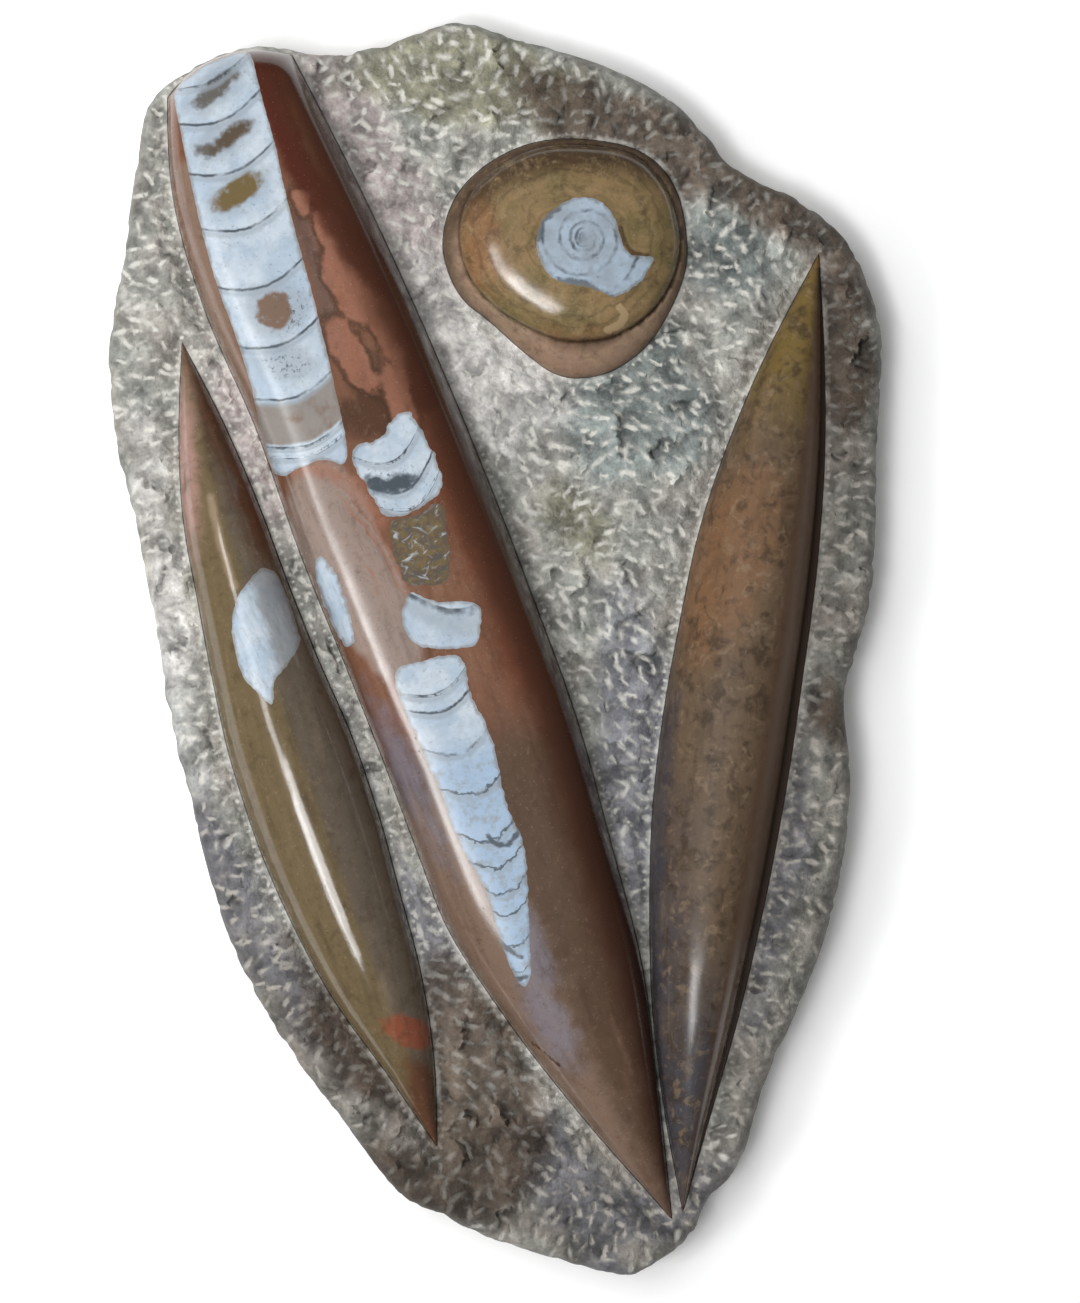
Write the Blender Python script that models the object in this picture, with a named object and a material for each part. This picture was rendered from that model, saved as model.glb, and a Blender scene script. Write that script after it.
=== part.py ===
"""Polished fossil plate: three orthocones and a goniatite in an egg-shaped limestone slab.

The plate lies on its sawn back. Lengths in this file are millimetres and are turned to metres
when a mesh is made. +Y runs to the wide end of the egg, +Z is up, and the origin is the
middle of the underside.
"""

import math

import bmesh
import bpy
import numpy as np
from mathutils.geometry import delaunay_2d_cdt

MM = 0.001

# The slab
PLATE_WIDTH = 349.0
PLATE_LENGTH = 565.0
GROUND = 29.5            # height of the pecked ground between the fossils
GROUND_WAVE = 1.3        # how far the ground rises and falls from that
WAVE_ACROSS = 31.0       # its waves: across the plate, along it and on the slant, in mm/radian
WAVE_ALONG = 43.0
WAVE_SLANT = 57.0
WAVE_START = 1.1         # where the wave across starts, in radians
WAIST = 16.0             # height at which the slab is widest
RIM_REACH = 7.0          # how far in the rounded upper edge reaches
RIM_SLOPE_REACH = 30.0   # the ground falls off gently over this distance from the edge
RIM_SLOPE_DROP = 2.5
MOAT_REACH = 12.0        # the ground sinks to the foot of a fossil over this distance
MOAT_DEPTH = 0.5         # the ground at a fossil lies this far below its foot
UNDERCUT = ((1.5, 9.0), (4.0, 3.0), (6.5, 0.0))    # (inset, height) of the edge under the waist

# How the fossils sit in the slab
FOOT = 26.5              # where a fossil's polished face starts to rise
SOCKET_FLOOR = 20.0
GAP = 0.3                # between pieces that touch in the stone
SHOULDER = 14.0          # radius of the rounded wide end of the central cone
END_INSET = 5.5          # where that end's bowed outline starts along the axis
END_BOW = 0.011          # how fast it falls back to each side, in 1/mm
END_MIDDLE = -8.0        # where it reaches farthest, to the left of the axis
END_ROUNDS = 6           # steps in which the end's corners settle on the edges
CREST_FALL = 0.8         # how a cone's height follows its width: 1 is in proportion
TAPER = (0.5, 0.92)      # the stretch of a cone over which its fullness changes
BEVEL_POWER = 6.0        # how late the goniatite's ring turns down to its edge
DOME_POWER = 2.6         # how flat the goniatite's dome is on top

# Spacing of the facets
SLAB_STEP = 10.5
CONE_STEP = 12.5
BOSS_SIDES = 40
DOME_RINGS = (1.0, 0.95, 0.85, 0.65)
GROUND_STEP = 18.0
RIM_RINGS = (0.12, 0.45, 1.0)    # rings of facets in the rounded rim, as shares of its reach
RIM_CLEARANCE = 0.6      # the outermost of them keeps this far from the slab's edge
FIELD_CLEARANCE = 9.0    # the ground's even grid keeps this far from outlines
SHELL_STEP = 5.5
ACROSS = (-0.97, -0.9, -0.78, -0.58, -0.3, 0.0, 0.3, 0.58, 0.78, 0.9, 0.97)
ROW_CLEARANCE = 1.0      # the first row keeps this far from the wide end's corners
CLEAR_OF_EDGE = 1.2      # inner points keep this far from an outline
LEAST_AREA = 0.001       # a patch under this is a flat sliver beside a straight stretch
LEAST_HALF = 0.01        # half width taken at a pointed end, where there is none
LEAST_MITRE = 0.05       # keeps the corner of a hairpin from running away
CREASE_ANGLE = 40.0      # edges turning more than this, in degrees, stay sharp

SLAB_OUTLINE = (
    (-175, 131), (-170, 85), (-163, 58), (-153, 6), (-148, -28), (-137, -73), (-121, -129),
    (-98, -174), (-64, -220), (-43, -247), (-22, -257), (-7, -265), (27, -276), (59, -284),
    (72, -278), (88, -267), (95, -252), (111, -232), (122, -197), (133, -172), (147, -138),
    (157, -100), (161, -60), (158, -23), (164, 0), (171, 29), (173, 81), (174, 108),
    (175, 142), (168, 167), (159, 185), (138, 203), (111, 216), (97, 231), (79, 249),
    (52, 263), (25, 272), (-2, 280), (-18, 284), (-43, 276), (-61, 271), (-80, 269),
    (-95, 272), (-109, 273), (-130, 267), (-147, 256), (-157, 246), (-162, 221), (-168, 180),
)


def curve_through(stations, values, at):
    """Cubic curve through the values at the stations, level where they turn."""
    xs, ys = np.array(stations, float), np.array(values, float)
    step = np.diff(xs)
    rise = np.diff(ys) / step
    slope = np.concatenate(([rise[0]], (rise[:-1] + rise[1:]) / 2, [rise[-1]]))
    slope[1:-1][rise[:-1] * rise[1:] <= 0] = 0
    i = np.clip(np.searchsorted(xs, at, side="right") - 1, 0, len(xs) - 2)
    t = (at - xs[i]) / step[i]
    return ((1 + 2 * t) * (1 - t) ** 2 * ys[i] + t * (1 - t) ** 2 * step[i] * slope[i]
            + t * t * (3 - 2 * t) * ys[i + 1] - t * t * (1 - t) * step[i] * slope[i + 1])


def resample(path, step):
    """Points along an open path, evenly spaced and close to step apart, ends kept."""
    path = np.array(path, float)
    run = np.concatenate(([0], np.cumsum(np.linalg.norm(np.diff(path, axis=0), axis=1))))
    at = np.linspace(0, run[-1], max(2, round(run[-1] / step) + 1))
    return np.stack([np.interp(at, run, path[:, k]) for k in (0, 1)], axis=1)


def smooth_loop(points, step, fineness=12):
    """Closed Catmull-Rom curve through the points, as points close to step apart."""
    p = np.array(points, float)
    before, after, next_after = np.roll(p, 1, 0), np.roll(p, -1, 0), np.roll(p, -2, 0)
    pieces = []
    for t in np.arange(fineness) / fineness:
        pieces.append(0.5 * (2 * p + (after - before) * t
                             + (2 * before - 5 * p + 4 * after - next_after) * t ** 2
                             + (3 * p - before - 3 * after + next_after) * t ** 3))
    dense = np.stack(pieces, axis=1).reshape(-1, 2)
    return resample(np.vstack([dense, dense[:1]]), step)[:-1]


def grow(loop, distance):
    """The counter-clockwise loop moved outwards by a distance, with mitred corners."""
    along = np.roll(loop, -1, 0) - loop
    normal = np.stack([along[:, 1], -along[:, 0]], axis=1)
    normal /= np.linalg.norm(normal, axis=1)[:, None]
    mitre = normal + np.roll(normal, 1, 0)
    mitre /= np.maximum((mitre * normal).sum(1), LEAST_MITRE)[:, None]
    return loop + distance * mitre


def pull_in(loop, distance):
    """The loop moved by a distance towards the origin."""
    reach = np.linalg.norm(loop, axis=1)[:, None]
    return loop * (1 - distance / reach)


def counter_clockwise(loop):
    x, y = loop[:, 0], loop[:, 1]
    area = (x * np.roll(y, -1) - np.roll(x, -1) * y).sum()
    return loop if area > 0 else loop[::-1]


def is_inside(points, loop):
    x, y = points[:, 0, None], points[:, 1, None]
    x0, y0 = loop[:, 0], loop[:, 1]
    x1, y1 = np.roll(x0, -1), np.roll(y0, -1)
    spans = (y0 > y) != (y1 > y)
    run = np.where(y1 == y0, 1.0, y1 - y0)
    crosses = spans & (x < (x1 - x0) * (y - y0) / run + x0)
    return crosses.sum(axis=1) % 2 == 1


def distance_to(points, loop):
    """Distance from each point to the nearest side of the loop."""
    start = loop[None]
    side = (np.roll(loop, -1, 0) - loop)[None]
    offset = points[:, None] - start
    t = np.clip((offset * side).sum(2) / (side * side).sum(2), 0, 1)
    return np.linalg.norm(offset - t[..., None] * side, axis=2).min(axis=1)


def ease(t):
    t = np.clip(t, 0, 1)
    return t * t * (3 - 2 * t)


class Cone:
    """A polished orthocone on a straight axis from its upper end to its lower tip.

    stations run along the axis. left and right are the reach from the axis to each edge.
    The crest lies at a fraction crest_place of the half width from the middle. fullness gives
    how full the flanks are in the cone's upper half and at its lower tip: 2 is an ellipse and
    more is a flat top with round shoulders.
    """

    def __init__(self, upper, lower, stations, left, right, rise, crest_place, fullness,
                 blunt=False, groove=1.0):
        self.upper = np.array(upper, float)
        axis = np.array(lower, float) - self.upper
        self.length = float(np.linalg.norm(axis))
        self.along = axis / self.length
        self.across = np.array([-self.along[1], self.along[0]])
        self.stations = np.array(stations, float) * self.length
        self.left, self.right = left, right
        self.rise, self.crest_place, self.fullness = rise, crest_place, fullness
        self.blunt, self.groove = blunt, groove
        self.widest = (np.array(left) + np.array(right)).max() / 2

    def edges(self, u):
        u = np.clip(u, 0, self.length)
        return (-curve_through(self.stations, self.left, u),
                curve_through(self.stations, self.right, u))

    def end_line(self, v):
        """Where the wide end stops, bowed outwards."""
        return END_INSET + END_BOW * (v - END_MIDDLE) ** 2 if self.blunt else 0.0 * v

    def place(self, u, v):
        return self.upper + np.outer(u, self.along) + np.outer(v, self.across)

    def local(self, points):
        offset = points - self.upper
        return offset @ self.along, offset @ self.across

    def height(self, points):
        u, v = self.local(points)
        low, high = self.edges(u)
        half = np.maximum((high - low) / 2, LEAST_HALF)
        q = (v - (low + high) / 2) / half
        crest_place = self.crest_place
        t = np.where(q > crest_place, (q - crest_place) / (self.groove - crest_place),
                     (crest_place - q) / (1 + crest_place))
        power = np.interp(u / self.length, TAPER, self.fullness)
        flank = np.sqrt(1 - np.clip(t, 0, 1) ** power)
        crest = self.rise * np.clip(half / self.widest, 0, 1) ** CREST_FALL
        rise = crest * flank
        if self.blunt:
            near_end = np.clip(1 - (u - self.end_line(v)) / SHOULDER, 0, 1)
            rise = rise * np.sqrt(1 - near_end ** 2)
        return FOOT + rise

    def outline(self):
        """The foot of the cone, with a point on each edge at every row."""
        corner = [0.0, 0.0]
        for _ in range(END_ROUNDS):
            low, high = self.edges(np.array(corner))
            corner = [self.end_line(low[0]), self.end_line(high[1])]
        rows = self.rows()
        below = [rows[rows > end + ROW_CLEARANCE] for end in corner]
        down = np.concatenate(([corner[0]], below[0], [self.length]))
        up = np.concatenate((below[1][::-1], [corner[1]]))
        left, right = self.edges(down)[0], self.edges(up)[1]
        parts = [self.place(down, left), self.place(up, right)]
        if self.blunt:
            v = np.linspace(right[-1], left[0], round((right[-1] - left[0]) / (CONE_STEP / 2)))
            parts.append(self.place(self.end_line(v), v)[1:-1])
        else:
            parts[1] = parts[1][:-1]
        return counter_clockwise(np.vstack(parts))

    def rows(self):
        return np.linspace(0, self.length, round(self.length / CONE_STEP) + 1)[1:-1]

    def lattice(self):
        """Points in rows along the cone and lines across it."""
        rows = self.rows()
        low, high = self.edges(rows)
        middle, half = (low + high) / 2, (high - low) / 2
        return np.vstack([self.place(rows, middle + q * half) for q in ACROSS])


class Edge:
    """A closed outline seen from a middle, as a reach in each direction."""

    def __init__(self, middle, outline):
        self.middle = np.array(middle, float)
        x, y = (smooth_loop(outline, 1.0) - self.middle).T
        order = np.argsort(np.arctan2(y, x))
        self.turns, self.reach = np.arctan2(y, x)[order], np.hypot(x, y)[order]

    def share(self, points):
        """How far out points lie: 0 in the middle and 1 at the outline."""
        x, y = (points - self.middle).T
        reach = np.interp(np.arctan2(y, x), self.turns, self.reach, period=2 * math.pi)
        return np.hypot(x, y) / reach

    def ring(self, scale):
        turn = np.arange(BOSS_SIDES) * 2 * math.pi / BOSS_SIDES
        reach = scale * np.interp(turn, self.turns, self.reach, period=2 * math.pi)
        return self.middle + reach[:, None] * np.stack([np.cos(turn), np.sin(turn)], axis=1)


class Boss:
    """The goniatite's pear-shaped boss: a bevelled ring, a crease and a dome inside it."""

    def __init__(self, middle, foot, dome, crease_rise, dome_rise):
        self.foot, self.dome = Edge(middle, foot), Edge(middle, dome)
        self.crease_rise, self.dome_rise = crease_rise, dome_rise

    def height(self, points):
        ring, dome = (np.clip(edge.share(points), 0, 1) for edge in (self.foot, self.dome))
        bevel = self.crease_rise * np.sqrt(1 - ring ** BEVEL_POWER)
        cap = (self.dome_rise - self.crease_rise) * np.sqrt(1 - dome ** DOME_POWER)
        return FOOT + bevel + cap

    def outline(self):
        return self.foot.ring(1.0)

    def lattice(self):
        return np.vstack([self.dome.ring(scale) for scale in DOME_RINGS])


FOSSILS = {
    "orthocone_center": Cone(
        upper=(-118.0, 274.0), lower=(79.5, -256.0),
        stations=(0.0, 0.1, 0.2, 0.3, 0.4, 0.5, 0.6, 0.7, 0.8, 0.9, 1.0),
        left=(31.5, 49.5, 54.0, 51.0, 52.0, 50.5, 49.5, 49.5, 39.0, 21.5, 0.0),
        right=(20.5, 27.5, 33.0, 36.5, 38.5, 39.0, 38.5, 33.5, 27.5, 14.5, 0.0),
        rise=31.5, crest_place=0.05, fullness=(7.0, 2.6), blunt=True),
    "orthocone_left": Cone(
        upper=(-140.5, 137.5), lower=(-26.0, -223.5),
        stations=(0.0, 0.1, 0.2, 0.3, 0.4, 0.5, 0.6, 0.7, 0.8, 0.9, 1.0),
        left=(0.0, 13.5, 23.5, 28.5, 33.0, 36.0, 35.5, 31.5, 24.0, 11.5, 0.0),
        right=(0.0, 6.5, 10.5, 12.5, 15.0, 19.0, 20.0, 18.5, 16.5, 10.5, 0.0),
        rise=25.5, crest_place=0.02, fullness=(2.0, 2.0)),
    "orthocone_right": Cone(
        upper=(145.5, 177.5), lower=(84.5, -252.5),
        stations=(0.0, 0.1, 0.2, 0.3, 0.4, 0.5, 0.6, 0.7, 0.8, 0.9, 1.0),
        left=(0.0, 15.5, 27.5, 35.5, 38.5, 40.0, 38.5, 33.5, 26.0, 14.5, 0.0),
        right=(0.0, 8.5, 15.0, 18.5, 19.5, 19.5, 18.5, 16.0, 12.0, 6.0, 0.0),
        rise=28.0, crest_place=0.12, fullness=(2.2, 2.2), groove=0.87),
    "goniatite_disc": Boss(
        middle=(33.5, 179.0),
        foot=((38, 229), (64, 224), (80, 209), (86, 185), (84, 165), (72, 141), (58, 128),
              (44, 122.5), (29, 123), (15, 132), (-2, 147), (-15, 158), (-22, 173), (-23, 187),
              (-17, 204), (-3, 218), (16, 227)),
        dome=((38, 226), (61, 222), (76, 208), (83, 187), (81, 169), (72, 153), (58, 142),
              (43, 138), (28, 138.5), (14, 144), (0, 153), (-11, 166), (-16, 183), (-13, 201),
              (0, 215), (17, 224)),
        crease_rise=11.0, dome_rise=20.0),
}


# Shells of white calcite: the fossil that holds each one, the height of its flat underside,
# and its outline
SHELLS = {
    "chambers_upper": ("orthocone_center", 28.0, (
        (-143, 249), (-139, 227), (-135, 208), (-129, 182), (-122, 158), (-116, 142),
        (-108, 116), (-104, 96), (-97.5, 77.5), (-87, 80), (-76, 84), (-66, 82), (-66, 94),
        (-69, 108), (-73, 126), (-80, 155), (-88, 184), (-94, 208), (-97, 222), (-103, 244),
        (-109.5, 266), (-119.5, 265), (-129.5, 261), (-137.5, 255))),
    "chambers_offset": ("orthocone_center", 44.0, (
        (-63, 88), (-57, 92), (-51, 93), (-45, 102), (-39, 106), (-34, 100), (-28, 89),
        (-23, 76), (-25, 69), (-34, 62), (-48, 59), (-57, 73), (-62, 81))),
    "crushed_shell": ("orthocone_center", 44.0, (
        (-46, 56), (-34, 59), (-24, 65), (-21, 50), (-20, 40), (-21, 30), (-30, 28),
        (-38, 28), (-41, 33), (-44, 41))),
    "chambers_loose": ("orthocone_center", 44.0, (
        (-37, 25), (-30, 22), (-24, 21), (-11, 21), (-6, 17), (-7, 4), (-11, 1), (-22, 0),
        (-31, 1), (-37, 4), (-41, 13))),
    "chambers_lower": ("orthocone_center", 40.0, (
        (-44, -14), (-42, -8), (-31, -5), (-22, -3), (-14, -4), (-11, -18), (-1, -40),
        (5, -67), (13, -87), (15, -112), (16, -141), (14, -150), (9, -146), (2, -127),
        (-4, -107), (-16, -85), (-26, -58), (-40, -27))),
    "calcite_flank": ("orthocone_center", 24.0, (
        (-78, 41), (-69, 31), (-64, 13), (-62, 4), (-65, 0), (-69, 5), (-74, 14), (-79, 30))),
    "calcite_left": ("orthocone_left", 28.0, (
        (-104, 36), (-96, 31), (-89, 11), (-87, 2), (-93, -8), (-98, -14), (-99, -25),
        (-107, -18), (-112, -12), (-116, 0), (-117, 13), (-114, 24))),
    "goniatite_coil": ("goniatite_disc", 40.0, (
        (19, 184), (19, 178), (21, 171), (28, 164), (36, 162), (46, 160), (52, 157), (58, 159),
        (66, 165), (71, 175), (64, 175), (59, 177), (56, 184), (54, 191), (49, 198), (43, 201),
        (36, 201), (29, 198), (22, 192))),
}

# Colour (linear RGB) and roughness of each kind of stone
STONES = {
    "matrix_slab": ((0.215, 0.205, 0.185), 0.85),
    "orthocone_center": ((0.160, 0.075, 0.045), 0.12),
    "orthocone_left": ((0.140, 0.070, 0.040), 0.12),
    "orthocone_right": ((0.130, 0.085, 0.050), 0.12),
    "goniatite_disc": ((0.150, 0.100, 0.055), 0.12),
    "calcite": ((0.600, 0.660, 0.700), 0.15),
}


def ground_height(points):
    """Top of the slab: a gently waved ground, a moat at each fossil and a rounded rim."""
    x, y = points[:, 0], points[:, 1]
    wave = np.sin(x / WAVE_ACROSS + WAVE_START) * np.cos(y / WAVE_ALONG)
    wave = (wave + np.sin((x + y) / WAVE_SLANT)) / 2
    height = GROUND + GROUND_WAVE * wave
    to_edge = distance_to(points, SLAB_LOOP)
    height = height - RIM_SLOPE_DROP * (1 - ease(to_edge / RIM_SLOPE_REACH))
    to_fossil = np.min([distance_to(points, loop) for loop in FOSSIL_LOOPS.values()], axis=0)
    foot = FOOT - MOAT_DEPTH
    height = foot + (height - foot) * ease(to_fossil / MOAT_REACH)
    near_rim = 1 - np.clip(to_edge / RIM_REACH, 0, 1)
    return WAIST + (height - WAIST) * np.sqrt(1 - near_rim ** 2)


def grid_over(loop, step):
    """Points of an even triangular grid over the loop's box."""
    low, high = loop.min(axis=0), loop.max(axis=0)
    rows = np.arange(low[1], high[1], step * math.sqrt(0.75))
    columns = np.arange(low[0], high[0], step)
    return np.array([(x + step / 2 * (k % 2), y) for k, y in enumerate(rows) for x in columns])


def keep_inside(points, outline, holes, clearance):
    """The points inside the outline, outside the holes and clear of both."""
    keep = is_inside(points, outline) & (distance_to(points, outline) > clearance)
    for hole in holes:
        keep &= ~is_inside(points, hole) & (distance_to(points, hole) > clearance)
    return points[keep]


def fill(loops, inner):
    """Triangles over the first loop and around the others, through the inner points."""
    points = np.vstack(loops + [inner]) if len(inner) else np.vstack(loops)
    sides, start = [], 0
    for loop in loops:
        ids = np.arange(start, start + len(loop))
        sides += list(zip(ids.tolist(), np.roll(ids, -1).tolist()))
        start += len(loop)
    flat = [tuple(p) for p in points.tolist()]
    made, _, faces, origins, _, _ = delaunay_2d_cdt(flat, sides, [], 0, 1e-6, True)
    if len(made) != len(points):
        raise ValueError("outlines cross, or points coincide")
    source = np.array([ids[0] for ids in origins])
    corners = source[np.array(faces)]
    a, b, c = (points[corners[:, k]] for k in range(3))
    area = (b[:, 0] - a[:, 0]) * (c[:, 1] - a[:, 1]) - (b[:, 1] - a[:, 1]) * (c[:, 0] - a[:, 0])
    corners[area < 0] = corners[area < 0][:, ::-1]
    keep = np.zeros(len(corners), bool)
    for patch in patches(corners, {tuple(sorted(side)) for side in sides}):
        largest = patch[np.argmax(np.abs(area[patch]))]
        middle = points[corners[largest]].mean(axis=0)[None]
        is_sliver = np.abs(area[patch]).sum() < LEAST_AREA
        in_hole = any(is_inside(middle, hole)[0] for hole in loops[1:])
        keep[patch] = is_inside(middle, loops[0])[0] and not in_hole and not is_sliver
    return points, corners[keep]


def patches(corners, walls):
    """Groups of triangles that can be reached from each other without crossing a wall."""
    beside = {}
    for face, (a, b, c) in enumerate(corners.tolist()):
        for side in ((a, b), (b, c), (c, a)):
            beside.setdefault(tuple(sorted(side)), []).append(face)
    neighbours = [[] for _ in corners]
    for side, pair in beside.items():
        if side not in walls and len(pair) == 2:
            neighbours[pair[0]].append(pair[1])
            neighbours[pair[1]].append(pair[0])
    seen = np.zeros(len(corners), bool)
    for first in range(len(corners)):
        if seen[first]:
            continue
        seen[first] = True
        patch = [first]
        for face in patch:
            for other in neighbours[face]:
                if not seen[other]:
                    seen[other] = True
                    patch.append(other)
        yield np.array(patch)


class Solid:
    """Collects the rings and faces of one closed mesh."""

    def __init__(self):
        self.mesh = bmesh.new()

    def add_points(self, points, height):
        heights = np.broadcast_to(height, len(points))
        return [self.mesh.verts.new((x * MM, y * MM, z * MM))
                for (x, y), z in zip(points, heights)]

    def add_faces(self, verts, corners, up=True):
        for a, b, c in corners:
            order = (a, b, c) if up else (a, c, b)
            self.mesh.faces.new([verts[k] for k in order])

    def wall(self, upper, lower, outwards=True):
        """Quads between two rings of a counter-clockwise loop."""
        for k in range(len(upper)):
            n = (k + 1) % len(upper)
            quad = (upper[k], lower[k], lower[n], upper[n])
            self.mesh.faces.new(quad if outwards else quad[::-1])

    def finish(self, name, stone):
        data = bpy.data.meshes.new(name)
        self.mesh.to_mesh(data)
        self.mesh.free()
        data.shade_smooth()
        data.set_sharp_from_angle(angle=math.radians(CREASE_ANGLE))
        data.materials.append(stone_material(name, stone))
        item = bpy.data.objects.new(name, data)
        bpy.context.scene.collection.objects.link(item)
        return item


def stone_material(name, stone):
    colour, roughness = STONES[stone]
    material = bpy.data.materials.new(name)
    material.use_nodes = True
    shader = material.node_tree.nodes["Principled BSDF"]
    shader.inputs["Base Color"].default_value = (*colour, 1.0)
    shader.inputs["Roughness"].default_value = roughness
    shader.inputs["Metallic"].default_value = 0.0
    return material


def carve(name, stone, outline, top, skirt, pockets=(), inner=()):
    """A closed solid with a shaped top, a skirt of rings below it and flat-floored pockets.

    skirt lists (ring, height) below the outline, the last one round the flat underside.
    pockets lists (loop, floor height).
    """
    solid = Solid()
    holes = [loop for loop, _ in pockets]
    points, corners = fill([outline] + holes, inner)
    verts = solid.add_points(points, top(points))
    solid.add_faces(verts, corners)
    ring = verts[:len(outline)]
    for lower_loop, height in skirt:
        lower = solid.add_points(lower_loop, height)
        solid.wall(ring, lower)
        ring = lower
    solid.add_faces(ring, fill([skirt[-1][0]], ())[1], up=False)
    start = len(outline)
    for loop, floor in pockets:
        ring = verts[start:start + len(loop)]
        lower = solid.add_points(loop, floor)
        solid.wall(ring, lower, outwards=False)
        solid.add_faces(lower, fill([loop], ())[1])
        start += len(loop)
    return solid.finish(name, stone)


def make_slab():
    sockets = [(grow(loop, GAP), SOCKET_FLOOR) for loop in FOSSIL_LOOPS.values()]
    holes = [loop for loop, _ in sockets]
    rim = [pull_in(SLAB_LOOP, RIM_REACH * part) for part in RIM_RINGS]
    moat = [grow(loop, MOAT_REACH / 2) for loop in FOSSIL_LOOPS.values()]
    field = keep_inside(grid_over(SLAB_LOOP, GROUND_STEP), SLAB_LOOP, holes, FIELD_CLEARANCE)
    bands = keep_inside(np.vstack(rim[1:] + moat), SLAB_LOOP, holes, CLEAR_OF_EDGE)
    edge = keep_inside(rim[0], SLAB_LOOP, holes, RIM_CLEARANCE)
    inner = thin_out([edge, bands, field], CLEAR_OF_EDGE)
    skirt = [(pull_in(SLAB_LOOP, inset), height) for inset, height in UNDERCUT]
    carve("matrix_slab", "matrix_slab", SLAB_LOOP, ground_height, skirt, sockets, inner)


def thin_out(groups, spacing):
    """The groups in one list, without points that crowd an earlier one."""
    kept = np.empty((0, 2))
    for group in groups:
        fresh = []
        for point in group:
            near = np.vstack([kept, np.reshape(fresh, (-1, 2))])
            if len(near) == 0 or np.linalg.norm(near - point, axis=1).min() > spacing / 2:
                fresh.append(point)
        kept = np.vstack([kept, np.reshape(fresh, (-1, 2))])
    return kept


def make_fossils():
    for name, fossil in FOSSILS.items():
        outline = FOSSIL_LOOPS[name]
        pockets = [(grow(loop, GAP / 2), SHELLS[shell][1] - GAP)
                   for shell, loop in SHELL_LOOPS.items() if SHELLS[shell][0] == name]
        holes = [loop for loop, _ in pockets]
        inner = keep_inside(fossil.lattice(), outline, holes, CLEAR_OF_EDGE)
        skirt = [(outline, SOCKET_FLOOR + GAP)]
        carve(name, name, outline, fossil.height, skirt, pockets, inner)


def make_shells():
    for name, (host, floor, _) in SHELLS.items():
        outline = grow(SHELL_LOOPS[name], -GAP / 2)
        inner = keep_inside(grid_over(outline, 2 * SHELL_STEP), outline, (), CLEAR_OF_EDGE)
        carve(name, "calcite", outline, FOSSILS[host].height, [(outline, floor)], (), inner)


def fit_to_plate(loop):
    """The loop stretched to the plate's width and length about its middle."""
    low, high = loop.min(axis=0), loop.max(axis=0)
    return (loop - (low + high) / 2) * np.array((PLATE_WIDTH, PLATE_LENGTH)) / (high - low)


SLAB_LOOP = fit_to_plate(counter_clockwise(smooth_loop(SLAB_OUTLINE, SLAB_STEP)))
FOSSIL_LOOPS = {name: fossil.outline() for name, fossil in FOSSILS.items()}
SHELL_LOOPS = {name: counter_clockwise(smooth_loop(points, SHELL_STEP))
               for name, (_, _, points) in SHELLS.items()}


def clear_scene():
    for item in list(bpy.data.objects):
        bpy.data.objects.remove(item, do_unlink=True)


clear_scene()
make_slab()
make_fossils()
make_shells()
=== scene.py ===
"""The finish of a polished fossil plate, built over its packed model.

Laid out as a Blender add-on. Each operator makes one piece or one group of like pieces. Lengths
in the functions are millimetres, in the model's own frame: +Y runs to the wide end of the
plate, +Z is up, and the underside lies at zero.
"""

import math

import bpy
import numpy as np
from bpy.props import FloatProperty, FloatVectorProperty, IntProperty, PointerProperty
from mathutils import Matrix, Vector, noise
from mathutils.geometry import delaunay_2d_cdt
from mathutils.kdtree import KDTree


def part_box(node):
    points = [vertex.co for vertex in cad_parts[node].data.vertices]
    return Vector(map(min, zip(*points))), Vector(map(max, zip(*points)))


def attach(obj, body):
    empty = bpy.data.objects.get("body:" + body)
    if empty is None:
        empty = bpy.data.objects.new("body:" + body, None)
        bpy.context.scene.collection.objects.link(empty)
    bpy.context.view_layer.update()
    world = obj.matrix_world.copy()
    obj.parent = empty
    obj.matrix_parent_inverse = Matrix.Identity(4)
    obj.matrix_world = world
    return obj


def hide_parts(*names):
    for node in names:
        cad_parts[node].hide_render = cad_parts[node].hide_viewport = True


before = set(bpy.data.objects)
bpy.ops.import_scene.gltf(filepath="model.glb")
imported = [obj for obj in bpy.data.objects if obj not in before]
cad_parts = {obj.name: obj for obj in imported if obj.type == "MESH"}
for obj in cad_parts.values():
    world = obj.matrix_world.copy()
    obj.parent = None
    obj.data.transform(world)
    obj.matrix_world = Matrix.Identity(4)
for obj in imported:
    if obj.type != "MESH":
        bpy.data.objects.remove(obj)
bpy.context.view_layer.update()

bl_info = {
    "name": "Orthoceras Plate",
    "version": (1, 0, 0),
    "blender": (4, 5, 0),
    "location": "View3D > Sidebar > Fossil",
    "description": "Finishes a pecked and polished limestone plate of orthocones and a goniatite",
    "category": "Object",
}

MM = 0.001

# Heights and reaches that the CAD solids share, in millimetres
WAIST = 16.0             # height at which the slab is widest
GROUND = 29.5            # height of the pecked ground between the fossils
FOOT = 26.5              # where a fossil's polished face starts to rise
SOCKET_FLOOR = 20.0      # height of the floor of a fossil's socket
SOCKET_GAP = 0.3         # play round a fossil in its socket
RIM_REACH = 7.0          # how far in the rim is rounded
RIM_SLOPE_REACH = 30.0   # how far in the ground slopes down to the rim
RIM_SLOPE_DROP = 2.5
MOAT_REACH = 12.0        # how far the ground dips round a fossil
SHOULDER = 14.0          # length of the central cone's rounded upper end

# Steps of the finished meshes, in millimetres
EDGE_STEP = 1.2
RIM_POINTS = 9           # points of the slab's rim to each side of its CAD outline
SKIRT_RINGS = ((0.12, 13.5), (0.3, 10.5), (0.5, 7.5), (0.75, 4.0), (0.95, 1.0), (1.0, 0.0))

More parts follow.
